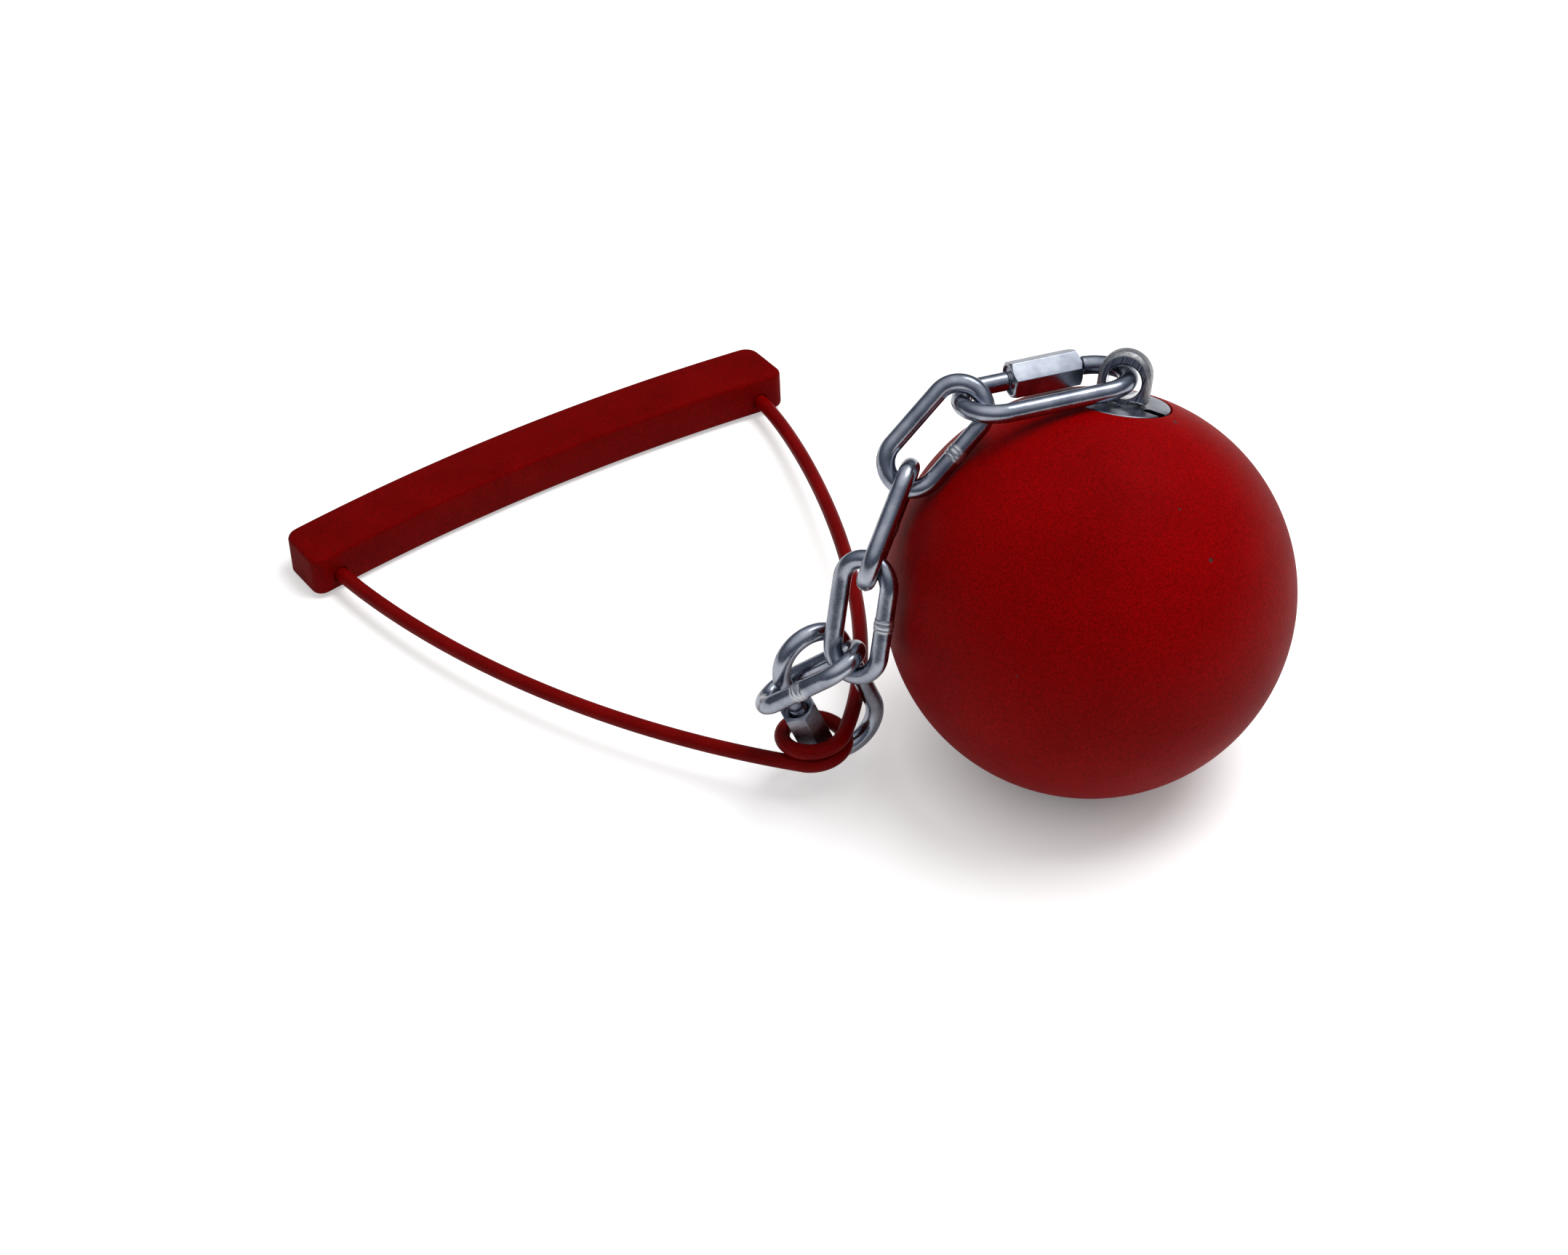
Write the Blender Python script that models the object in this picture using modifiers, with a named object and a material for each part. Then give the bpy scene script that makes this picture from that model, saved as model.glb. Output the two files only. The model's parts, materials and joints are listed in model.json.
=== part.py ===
# Throwing weight: a heavy ball with a ball-bearing swivel, four chain links
# between two quick links, and a flat grip on a bent wire triangle.
# Metres, +Z up. The ball stands on the floor and the handle lies beside it.
import math

import bmesh
import bpy
from mathutils import Matrix, Vector

# Running gap between neighbouring pieces that must not touch in the mesh
SEAT_GAP = 0.0003

# Ball
BALL_RADIUS = 0.055
RECESS_RADIUS = 0.0134
RECESS_DEPTH = 0.0271
CORE_RADIUS = 0.028
CORE_COVER = 0.004
FILLING_HOLE_RADIUS = 0.006
PLUG_SOCKET_RADIUS = 0.0029
PLUG_SOCKET_DEPTH = 0.005

# Swivel cap, eye and shank
SWIVEL_DIRECTION = Vector((0.126, 0.355, 0.926))
EYE_FACE_DIRECTION = Vector((-0.248, -0.890, 0.383))
CAP_GAP = 0.00045
CAP_THICKNESS = 0.004
CAP_SLOT_WIDTH = 0.003
CAP_SLOT_DEPTH = 0.0015
CAP_SLOT_LENGTH = 0.0055
CAP_SLOT_ANGLE = math.radians(154)
EYE_WIDTH = 0.014
EYE_THICKNESS = 0.0062
EYE_HEIGHT = 0.0142
EYE_EDGE_BEVEL = 0.001
EYE_HOLE_RADIUS = 0.0046
EYE_HOLE_HEIGHT = 0.006
EYE_HOLE_CHAMFER = 0.0006
SHANK_RADIUS = 0.005

# Bearing below the cap
HOUSING_WALL = 0.0019
HOUSING_FLOOR = 0.0025
RACE_THICKNESS = 0.0025
RACE_BORE_GAP = 0.0006
BEARING_BALL_RADIUS = 0.002
BEARING_BALL_COUNT = 10
BEARING_PITCH_RADIUS = 0.0082
CAGE_THICKNESS = 0.0014
CAGE_WIDTH = 0.0052
WASHER_THICKNESS = 0.0012
NUT_HEIGHT = 0.0065
NUT_CORNER_RADIUS = 0.0082
NUT_SLOT_DEPTH = 0.0028
NUT_SLOT_WIDTH = 0.0026
SPLIT_PIN_RADIUS = 0.001
SPLIT_PIN_LENGTH = 0.0185
SPLIT_PIN_EYE_RADIUS = 0.0016
SHANK_TIP_LENGTH = 0.001

# Chain and quick links, sizes to the wire's centre line
LINK_WIRE_RADIUS = 0.0025
LINK_LENGTH = 0.032
LINK_WIDTH = 0.014
QUICK_WIRE_RADIUS = 0.0025
QUICK_LENGTH = 0.0458
QUICK_WIDTH = 0.0192
QUICK_OPENING = 0.007
UPPER_SLEEVE_LENGTH = 0.0194
LOWER_SLEEVE_LENGTH = 0.0166
SLEEVE_CORNER_RADIUS = 0.0053
UPPER_SLEEVE_SHIFT = 0.0036
LOWER_SLEEVE_SHIFT = 0.0057
UPPER_SLEEVE_TURN = math.radians(-15)
LOWER_SLEEVE_TURN = math.radians(20)
SLEEVE_OVERLAP = 0.001
LINK_SLACK = 0.00032

# Attitudes of the rings as they lie: along the ring, and square to its plane
UPPER_QUICK_ATTITUDE = (Vector((0.942, 0.340, -0.015)), Vector((-0.092, 0.231, 0.969)))
CHAIN_ATTITUDES = (
    (Vector((0.653, 0.384, 0.653)), Vector((-0.063, -0.831, 0.552))),
    (Vector((0.365, 0.668, 0.649)), Vector((0.930, -0.290, -0.225))),
    (Vector((0.127, 0.358, 0.925)), Vector((-0.503, -0.781, 0.371))),
    (Vector((0.722, -0.213, 0.658)), Vector((-0.578, 0.337, 0.743))),
)
LOWER_QUICK_ATTITUDE = (Vector((-0.334, -0.139, 0.932)), Vector((0.497, -0.867, 0.049)))

# Angles from the crown of each ring at which the wires bear on each other,
# on the upper ring and on the ring that hangs in it
CHAIN_BEARING_ANGLES = (
    (math.radians(-24.1), math.radians(-49.0)),
    (math.radians(-12.7), math.radians(42.0)),
    (math.radians(-9.1), math.radians(-34.1)),
    (math.radians(-10.9), math.radians(-9.7)),
)
# Links that swing about their own wire, while the others swing about the wire above
OWN_WIRE_HINGES = (1, 3)
LAST_LINK_BEARING_ANGLE = math.radians(53)
LAST_LINK_ABOVE_SLEEVE = 0.0052
EYE_BEARING_ANGLE = math.radians(-17)
EYE_BEARING_SIDE = Vector((1, 0.2, 0.8))
EYE_BEARING_PLAY = 0.0008

# Handle wire
WIRE_RADIUS = 0.00215
COIL_PITCH = 0.00455
COIL_PLAY = 0.00115
COIL_SIDE = Vector((0.66, 0.75, 0))
COIL_HEIGHT_ON_LEG = -0.0114
HANDLE_HEADING = Vector((-0.5621, 0.8271, 0))
HANDLE_REACH = 0.1412
HANDLE_SIDE_SHIFT = 0.005
WIRE_SPREAD = 0.1470
WIRE_TOE_IN = math.radians(4.9)
LEFT_LEG = {"start": 0.0302, "end": 0.0717, "angle": math.radians(39.4)}
RIGHT_LEG = {"start": 0.0262, "end": 0.0556, "angle": math.radians(51.1)}
WIRE_SOCKET_DEPTH = 0.0115

# Grip
GRIP_LENGTH = 0.165
GRIP_WIDTH = 0.0192
GRIP_THICKNESS = 0.0125
GRIP_EDGE_RADIUS = 0.0022
GRIP_BOW = 0.0061
GRIP_CLEAR_OF_LEG_START = 0.0024
WIRE_ABOVE_GRIP_BASE = 0.0046

# Mesh fineness
BALL_SEGMENTS = 48
CORE_SEGMENTS = 24
TURNED_STEPS = 28
WIRE_SIDES_RESOLUTION = 3
ARC_STEPS = 10
COIL_STEP = math.radians(22.5)
LEG_STEPS = 12
GRIP_CUTS = 11

# Values that follow from the sizes above
CAP_TOP = math.sqrt(BALL_RADIUS ** 2 - RECESS_RADIUS ** 2)
RECESS_FLOOR = CAP_TOP - RECESS_DEPTH
CAP_RADIUS = RECESS_RADIUS - CAP_GAP
CAP_UNDERSIDE = CAP_TOP - CAP_THICKNESS
HOUSING_RADIUS = RECESS_RADIUS - SEAT_GAP
HOUSING_BORE = HOUSING_RADIUS - HOUSING_WALL
CORE_HEIGHT = RECESS_FLOOR - CORE_COVER - CORE_RADIUS
SHANK_BORE = SHANK_RADIUS + RACE_BORE_GAP
RACE_RADIUS = HOUSING_BORE - RACE_BORE_GAP
UPPER_RACE_TOP = CAP_UNDERSIDE - SEAT_GAP
RACE_GROOVE_DEPTH = BEARING_BALL_RADIUS * 0.4
BEARING_PLANE = (
    UPPER_RACE_TOP - RACE_THICKNESS + RACE_GROOVE_DEPTH - SEAT_GAP - BEARING_BALL_RADIUS
)
LOWER_RACE_TOP = (
    BEARING_PLANE - BEARING_BALL_RADIUS - SEAT_GAP + RACE_GROOVE_DEPTH
)
WASHER_TOP = LOWER_RACE_TOP - RACE_THICKNESS - SEAT_GAP
NUT_TOP = WASHER_TOP - WASHER_THICKNESS - SEAT_GAP
NUT_BASE = NUT_TOP - NUT_HEIGHT
SHANK_TIP = NUT_BASE - SHANK_TIP_LENGTH
PIN_HEIGHT = NUT_BASE + NUT_SLOT_DEPTH * 0.5
WIRE_BEARING_DISTANCE = 2 * LINK_WIRE_RADIUS + LINK_SLACK
QUICK_BEARING_DISTANCE = LINK_WIRE_RADIUS + QUICK_WIRE_RADIUS + LINK_SLACK
SLEEVE_BORE = QUICK_WIRE_RADIUS + SEAT_GAP
COIL_RADIUS = SLEEVE_CORNER_RADIUS + COIL_PLAY + WIRE_RADIUS
COIL_TURN = math.radians(540) - LEFT_LEG["angle"] - RIGHT_LEG["angle"]
COIL_ENTRY_HEIGHT = COIL_PITCH * COIL_TURN / math.tau - COIL_PITCH / 2


# Scene, materials and collections
def clear_scene():
    for thing in list(bpy.data.objects):
        bpy.data.objects.remove(thing, do_unlink=True)
    for group in list(bpy.data.collections):
        bpy.data.collections.remove(group)


def new_collection(name):
    group = bpy.data.collections.new(name)
    bpy.context.scene.collection.children.link(group)
    return group


def new_material(name, colour, roughness, metallic):
    material = bpy.data.materials.new(name)
    material.use_nodes = True
    shader = material.node_tree.nodes["Principled BSDF"]
    shader.inputs["Base Color"].default_value = (*colour, 1)
    shader.inputs["Roughness"].default_value = roughness
    shader.inputs["Metallic"].default_value = metallic
    material.diffuse_color = (*colour, 1)
    return material


FINISHES = {
    "red_enamel": ((0.30, 0.002, 0.004), 0.35, 0.0),
    "red_plastic": ((0.36, 0.004, 0.006), 0.45, 0.0),
    "zinc_plate": ((0.62, 0.63, 0.65), 0.28, 1.0),
    "machined_steel": ((0.50, 0.50, 0.50), 0.35, 1.0),
    "bearing_steel": ((0.58, 0.58, 0.60), 0.18, 1.0),
    "brass": ((0.75, 0.56, 0.25), 0.30, 1.0),
    "lead": ((0.20, 0.21, 0.23), 0.65, 1.0),
    "red_coating": ((0.34, 0.004, 0.006), 0.4, 0.0),
}


def add_part(name, mesh, finish, place=None):
    part = bpy.data.objects.new(name, mesh)
    parts.objects.link(part)
    if not mesh.materials:
        mesh.materials.append(new_material(name + "_" + finish, *FINISHES[finish]))
    part.matrix_world = place or Matrix()
    return part


def add_cutter(name, mesh, place=None):
    cutter = bpy.data.objects.new(name, mesh)
    cutters.objects.link(cutter)
    cutter.matrix_world = place or Matrix()
    cutter.hide_render = True
    cutter.display_type = "WIRE"
    return cutter


# Basic shapes
def mesh_from(name, shape):
    bmesh.ops.recalc_face_normals(shape, faces=shape.faces)
    mesh = bpy.data.meshes.new(name)
    shape.to_mesh(mesh)
    shape.free()
    return mesh


def cylinder(name, radius, low, high, segments=TURNED_STEPS):
    shape = bmesh.new()
    bmesh.ops.create_cone(
        shape, cap_ends=True, segments=segments, radius1=radius, radius2=radius,
        depth=high - low, matrix=Matrix.Translation((0, 0, (low + high) / 2)))
    return mesh_from(name, shape)


def sphere(name, radius, segments, height=0.0):
    shape = bmesh.new()
    bmesh.ops.create_uvsphere(
        shape, u_segments=segments, v_segments=segments // 2, radius=radius,
        matrix=Matrix.Translation((0, 0, height)))
    return mesh_from(name, shape)


def box(name, size, centre):
    shape = bmesh.new()
    bmesh.ops.create_cube(
        shape, size=1, matrix=Matrix.LocRotScale(Vector(centre), None, Vector(size)))
    return mesh_from(name, shape)


def profile_mesh(name, profile, closed=True):
    mesh = bpy.data.meshes.new(name)
    points = [(radius, 0, height) for radius, height in profile]
    edges = [(i, i + 1) for i in range(len(points) - 1)]
    if closed:
        edges.append((len(points) - 1, 0))
    mesh.from_pydata(points, edges, [])
    return mesh


def turn(part):
    screw = part.modifiers.new("Turn", "SCREW")
    screw.steps = TURNED_STEPS
    screw.render_steps = TURNED_STEPS
    screw.use_merge_vertices = True
    screw.merge_threshold = 0.00001


def turned(name, profile, finish, place):
    """A closed profile of (radius, height) points, outer side first from the top down."""
    part = add_part(name, profile_mesh(name, profile), finish, place)
    turn(part)
    return part


def ring_profile(outer, inner, low, high):
    return [(outer, high), (outer, low), (inner, low), (inner, high)]


def boolean(part, cutter, operation="DIFFERENCE"):
    modifier = part.modifiers.new(cutter.name, "BOOLEAN")
    modifier.object = cutter
    modifier.operation = operation
    modifier.solver = "EXACT"


def bevel(part, width, segments=1, angle=math.radians(30)):
    modifier = part.modifiers.new("Bevel", "BEVEL")
    modifier.width = width
    modifier.segments = segments
    modifier.limit_method = "ANGLE"
    modifier.angle_limit = angle
    modifier.use_clamp_overlap = True


def wire(name, points, radius, finish, closed=False):
    curve = bpy.data.curves.new(name, "CURVE")
    curve.dimensions = "3D"
    curve.bevel_depth = radius
    curve.bevel_resolution = WIRE_SIDES_RESOLUTION
    curve.use_fill_caps = not closed
    spline = curve.splines.new("POLY")
    spline.points.add(len(points) - 1)
    for target, point in zip(spline.points, points):
        target.co = (*point, 1)
    spline.use_cyclic_u = closed
    return add_part(name, curve, finish)


# Frames
def frame(origin, along, normal):
    """Matrix with X along, Z on the normal made square to it, at an origin."""
    x = along.normalized()
    z = (normal - x * normal.dot(x)).normalized()
    y = z.cross(x)
    axes = Matrix((x, y, z)).transposed().to_4x4()
    return Matrix.Translation(origin) @ axes


def direction(matrix, vector):
    return matrix.to_3x3() @ Vector(vector)


# Rings: long axis X, width along Y, plane normal Z, measured to the wire's centre
class Ring:
    def __init__(self, length, width, attitude):
        self.bend = width / 2
        self.straight = (length - width) / 2
        self.attitude = frame(Vector(), *attitude)
        self.matrix = self.attitude

    def crown(self, end, angle):
        """Point, tangent and inward direction on the bend at one end."""
        away = Vector((end * math.cos(angle), math.sin(angle), 0))
        point = Vector((end * self.straight, 0, 0)) + away * self.bend
        return point, Vector((-away.y, away.x, 0)), -away

    def leg(self, along):
        """The same on the straight leg at +Y."""
        return Vector((along, self.bend, 0)), Vector((1, 0, 0)), Vector((0, -1, 0))

    def hang(self, own, other, other_bearing, distance):
        """Moves this ring so that its bearing point lies in the other ring's."""
        point, tangent, _ = own
        other_point, other_tangent, other_inward = other_bearing
        tangent = direction(self.attitude, tangent)
        other_tangent = direction(other.matrix, other_tangent)
        away = other_tangent.cross(tangent).normalized()
        if away.dot(direction(other.matrix, other_inward)) < 0:
            away = -away
        spot = other.matrix @ other_point + away * distance
        self.matrix = Matrix.Translation(spot - direction(self.attitude, point)) @ self.attitude

    def outline(self):
        """Closed centre line, from the middle of the -Y leg anticlockwise."""
        points = [Vector((0, -self.bend, 0))]
        for end in (1, -1):
            for step in range(ARC_STEPS + 1):
                angle = -math.pi / 2 + math.pi * step / ARC_STEPS
                local = Vector((math.cos(angle), math.sin(angle), 0)) * self.bend
                points.append(Vector((self.straight, 0, 0)) * end + local * end)
            if end == 1:
                points.append(Vector((0, self.bend, 0)))
        return points


# Ball, core and filling plug
def build_ball(swivel):
    ball = add_part("ball_shell", sphere("ball_shell", BALL_RADIUS, BALL_SEGMENTS),
                    "red_enamel", Matrix.Translation(BALL_CENTRE))
    over = BALL_RADIUS * 1.1
    recess = add_cutter("recess_cutter",
                        cylinder("recess_cutter", RECESS_RADIUS, RECESS_FLOOR, over), swivel)
    cavity = add_cutter("cavity_cutter",
                        sphere("cavity_cutter", CORE_RADIUS + SEAT_GAP, CORE_SEGMENTS, CORE_HEIGHT),
                        swivel)
    core_base = CORE_HEIGHT - CORE_RADIUS
    hole = add_cutter("filling_hole_cutter",
                      cylinder("filling_hole_cutter", FILLING_HOLE_RADIUS, -over,
                               core_base + FILLING_HOLE_RADIUS),
                      swivel)
    for cutter in (recess, cavity, hole):
        boolean(ball, cutter)
    add_part("ball_core", sphere("ball_core", CORE_RADIUS, CORE_SEGMENTS, CORE_HEIGHT),
             "lead", swivel)
    plug_face = -math.sqrt(BALL_RADIUS ** 2 - FILLING_HOLE_RADIUS ** 2) + SEAT_GAP
    plug = add_part("filling_plug",
                    cylinder("filling_plug", FILLING_HOLE_RADIUS - SEAT_GAP, plug_face,
                             core_base - SEAT_GAP),
                    "machined_steel", swivel)
    socket = add_cutter("plug_socket_cutter",
                        cylinder("plug_socket_cutter", PLUG_SOCKET_RADIUS,
                                 -over, plug_face + PLUG_SOCKET_DEPTH, segments=6),
                        swivel)
    boolean(plug, socket)


# Cap, housing and bearing, coaxial with the swivel
def build_bearing(swivel):
    housing_base = RECESS_FLOOR + SEAT_GAP
    housing_top = CAP_UNDERSIDE - SEAT_GAP
    housing = [(HOUSING_RADIUS, housing_top), (HOUSING_RADIUS, housing_base),
               (SHANK_RADIUS, housing_base), (SHANK_RADIUS, housing_base + HOUSING_FLOOR),
               (HOUSING_BORE, housing_base + HOUSING_FLOOR), (HOUSING_BORE, housing_top)]
    turned("bearing_housing", housing, "machined_steel", swivel)

    cap_bore = SHANK_RADIUS + SEAT_GAP
    cap = turned("bearing_cap",
                 ring_profile(CAP_RADIUS, cap_bore, CAP_UNDERSIDE, CAP_TOP), "zinc_plate", swivel)
    for number, angle in enumerate((CAP_SLOT_ANGLE, CAP_SLOT_ANGLE + math.pi)):
        name = "cap_slot_cutter_%d" % (number + 1)
        size = (CAP_SLOT_LENGTH * 2, CAP_SLOT_WIDTH, CAP_SLOT_DEPTH * 2)
        slot = box(name, size, (CAP_RADIUS, 0, CAP_TOP))
        boolean(cap, add_cutter(name, slot, swivel @ Matrix.Rotation(angle, 4, "Z")))

    race_bottom = UPPER_RACE_TOP - RACE_THICKNESS
    turned("upper_race", race_profile(UPPER_RACE_TOP, race_bottom), "bearing_steel", swivel)
    turned("lower_race", race_profile(LOWER_RACE_TOP - RACE_THICKNESS, LOWER_RACE_TOP),
           "bearing_steel", swivel)

    half_cage = CAGE_WIDTH / 2
    cage = turned("ball_cage",
                  ring_profile(BEARING_PITCH_RADIUS + half_cage, BEARING_PITCH_RADIUS - half_cage,
                               BEARING_PLANE - CAGE_THICKNESS / 2,
                               BEARING_PLANE + CAGE_THICKNESS / 2),
                  "brass", swivel)
    pocket = cylinder("pocket", BEARING_BALL_RADIUS + SEAT_GAP,
                      BEARING_PLANE - CAGE_THICKNESS, BEARING_PLANE + CAGE_THICKNESS, segments=16)
    ball = sphere("bearing_ball", BEARING_BALL_RADIUS, 10, BEARING_PLANE)
    for number in range(1, BEARING_BALL_COUNT + 1):
        around = Matrix.Rotation(math.tau * number / BEARING_BALL_COUNT, 4, "Z")
        shift = swivel @ around @ Matrix.Translation((BEARING_PITCH_RADIUS, 0, 0))
        boolean(cage, add_cutter("pocket_cutter_%02d" % number, pocket, shift))
        add_part("bearing_ball_%02d" % number, ball, "bearing_steel", shift)


def race_profile(flat, grooved):
    """Race between its flat side and its grooved side, the groove a shallow arc."""
    groove_radius = BEARING_BALL_RADIUS + SEAT_GAP
    side = 1 if flat > grooved else -1
    half_width = math.sqrt(groove_radius ** 2 - (groove_radius - RACE_GROOVE_DEPTH) ** 2)
    centre = grooved + side * (RACE_GROOVE_DEPTH - groove_radius)
    groove = []
    for step in range(7):
        across = half_width * (1 - step / 3)
        rise = math.sqrt(groove_radius ** 2 - across ** 2)
        groove.append((BEARING_PITCH_RADIUS + across, centre + side * rise))
    profile = [(RACE_RADIUS, flat), (RACE_RADIUS, grooved)] + groove
    profile += [(SHANK_BORE, grooved), (SHANK_BORE, flat)]
    if side < 0:
        profile.reverse()
    return profile


# Eye with its shank, and what holds it from below
def build_eye(swivel):
    half = EYE_WIDTH / 2
    top_centre = EYE_HEIGHT - half
    outline = [(half, SEAT_GAP)]
    for step in range(ARC_STEPS + 3):
        angle = math.pi * step / (ARC_STEPS + 2)
        outline.append((half * math.cos(angle), top_centre + half * math.sin(angle)))
    outline.append((-half, SEAT_GAP))
    shape = bmesh.new()
    rim = [shape.verts.new((x, EYE_THICKNESS / 2, CAP_TOP + z)) for x, z in outline]
    face = shape.faces.new(rim)
    swept = bmesh.ops.extrude_face_region(shape, geom=[face])
    moved = [item for item in swept["geom"] if isinstance(item, bmesh.types.BMVert)]
    bmesh.ops.translate(shape, verts=moved, vec=(0, -EYE_THICKNESS, 0))
    eye = add_part("swivel_eye", mesh_from("swivel_eye", shape), "zinc_plate", swivel)
    bevel(eye, EYE_EDGE_BEVEL, angle=math.radians(60))
    shank = add_cutter("shank_body",
                       cylinder("shank_body", SHANK_RADIUS, SHANK_TIP,
                                CAP_TOP + SEAT_GAP * 2), swivel)
    boolean(eye, shank, "UNION")
    hole_place = swivel @ Matrix.Translation((0, 0, CAP_TOP + EYE_HOLE_HEIGHT))
    across = hole_place @ Matrix.Rotation(math.pi / 2, 4, "X")
    hole_end = EYE_THICKNESS / 2 - EYE_HOLE_CHAMFER
    mouth_end = EYE_THICKNESS / 2 + EYE_HOLE_CHAMFER
    mouth = EYE_HOLE_RADIUS + 2 * EYE_HOLE_CHAMFER
    hole = [(0, mouth_end), (mouth, mouth_end), (EYE_HOLE_RADIUS, hole_end),
            (EYE_HOLE_RADIUS, -hole_end), (mouth, -mouth_end), (0, -mouth_end)]
    hole_cutter = add_cutter("eye_hole_cutter",
                             profile_mesh("eye_hole_cutter", hole, closed=False), across)
    turn(hole_cutter)
    boolean(eye, hole_cutter)
    pin_turn = Matrix.Translation((0, 0, PIN_HEIGHT)) @ Matrix.Rotation(math.pi / 2, 4, "Y")
    pin_place = swivel @ pin_turn
    boolean(eye, add_cutter("pin_hole_cutter",
                            cylinder("pin_hole_cutter", SPLIT_PIN_RADIUS + SEAT_GAP,
                                     -SHANK_RADIUS * 2, SHANK_RADIUS * 2, segments=12),
                            pin_place))

    turned("thrust_washer",
           ring_profile(RACE_RADIUS, SHANK_BORE, WASHER_TOP - WASHER_THICKNESS, WASHER_TOP),
           "machined_steel", swivel)
    nut = add_part("lock_nut", cylinder("lock_nut", NUT_CORNER_RADIUS, NUT_BASE, NUT_TOP,
                                        segments=6), "zinc_plate", swivel)
    boolean(nut, add_cutter("nut_bore_cutter",
                            cylinder("nut_bore_cutter", SHANK_RADIUS + SEAT_GAP,
                                     NUT_BASE - SEAT_GAP, NUT_TOP + SEAT_GAP), swivel))
    for number in range(3):
        name = "nut_slot_cutter_%d" % (number + 1)
        size = (NUT_CORNER_RADIUS * 3, NUT_SLOT_WIDTH, NUT_SLOT_DEPTH * 2)
        slot = add_cutter(name, box(name, size, (0, 0, NUT_BASE)),
                          swivel @ Matrix.Rotation(math.pi * number / 3, 4, "Z"))
        boolean(nut, slot)
    pin = add_part("split_pin", cylinder("split_pin", SPLIT_PIN_RADIUS, -SPLIT_PIN_LENGTH / 2,
                                         SPLIT_PIN_LENGTH / 2, segments=12),
                   "machined_steel", pin_place)
    head = add_cutter("split_pin_head",
                      sphere("split_pin_head", SPLIT_PIN_EYE_RADIUS, 12, SPLIT_PIN_LENGTH / 2),
                      pin_place)
    boolean(pin, head, "UNION")


# Quick link: an open wire ring and the hex sleeve nut that closes it
def build_quick_link(name, ring, sleeve_length, sleeve_shift, sleeve_turn):
    notch_end = math.copysign(1, sleeve_shift)
    half_length = sleeve_length / 2
    start = sleeve_shift + notch_end * (half_length - SLEEVE_OVERLAP)
    stop = start - notch_end * QUICK_OPENING
    points = [Vector((start, ring.bend, 0))]
    outline = ring.outline()
    half = len(outline) // 2
    around = outline[half + 1:] + outline[:half] if notch_end < 0 else outline[:half][::-1]
    if notch_end > 0:
        around += outline[half + 1:][::-1]
    points += around
    points.append(Vector((stop, ring.bend, 0)))
    body = wire(name + "_quick_link", points, QUICK_WIRE_RADIUS, "zinc_plate")
    body.matrix_world = ring.matrix
    along = Matrix.Translation((sleeve_shift, ring.bend, 0))
    turn_place = Matrix.Rotation(sleeve_turn, 4, "X") @ Matrix.Rotation(math.pi / 2, 4, "Y")
    sleeve_place = ring.matrix @ along @ turn_place
    sleeve = add_part(name + "_link_sleeve",
                      cylinder(name + "_link_sleeve", SLEEVE_CORNER_RADIUS, -half_length,
                               half_length, segments=6), "zinc_plate", sleeve_place)
    bevel(sleeve, SLEEVE_CORNER_RADIUS * 0.12, angle=math.radians(70))
    boolean(sleeve, add_cutter(name + "_sleeve_bore_cutter",
                               cylinder(name + "_sleeve_bore_cutter", SLEEVE_BORE,
                                        -sleeve_length, sleeve_length, segments=16),
                               sleeve_place))


# Handle: a bent wire triangle with a two-turn coil, and the bowed grip
def bezier(start, leave, arrive, stop, share):
    rest = 1 - share
    return (start * rest ** 3 + leave * 3 * rest ** 2 * share
            + arrive * 3 * rest * share ** 2 + stop * share ** 3)


def ease(share):
    return share * share * (3 - 2 * share)


def leg_start(side):
    """Where a leg begins beside the grip, and its direction there, coil at -Y."""
    start = Vector((side * WIRE_SPREAD / 2 + HANDLE_SIDE_SHIFT, HANDLE_REACH, 0))
    return start, Vector((-side * math.sin(WIRE_TOE_IN), -math.cos(WIRE_TOE_IN), 0))


def leg_points(side, leg, height):
    """Centre line from the grip to the coil, rising or falling to its layer."""
    start, heading = leg_start(side)
    around = Vector((side * math.cos(leg["angle"]), -math.sin(leg["angle"]), 0))
    stop = around * COIL_RADIUS
    arrive = stop - Vector((side * around.y, -side * around.x, 0)) * leg["end"]
    points = []
    for step in range(LEG_STEPS):
        share = step / LEG_STEPS
        point = bezier(start, start + heading * leg["start"], arrive, stop, share)
        point.z = height * ease(share)
        points.append(point)
    return points


def socket_end(side):
    start, heading = leg_start(side)
    return start - heading * (GRIP_CLEAR_OF_LEG_START + WIRE_SOCKET_DEPTH)


def handle_route():
    points = [socket_end(1)]
    points += leg_points(1, RIGHT_LEG, COIL_ENTRY_HEIGHT)
    steps = round(COIL_TURN / COIL_STEP)
    for step in range(steps + 1):
        wound = COIL_TURN * step / steps
        angle = RIGHT_LEG["angle"] + wound
        height = COIL_ENTRY_HEIGHT - COIL_PITCH * wound / math.tau
        around = Vector((math.cos(angle), -math.sin(angle), 0))
        points.append(around * COIL_RADIUS + Vector((0, 0, height)))
    points += leg_points(-1, LEFT_LEG, -COIL_PITCH / 2)[::-1]
    points.append(socket_end(-1))
    return points


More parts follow.
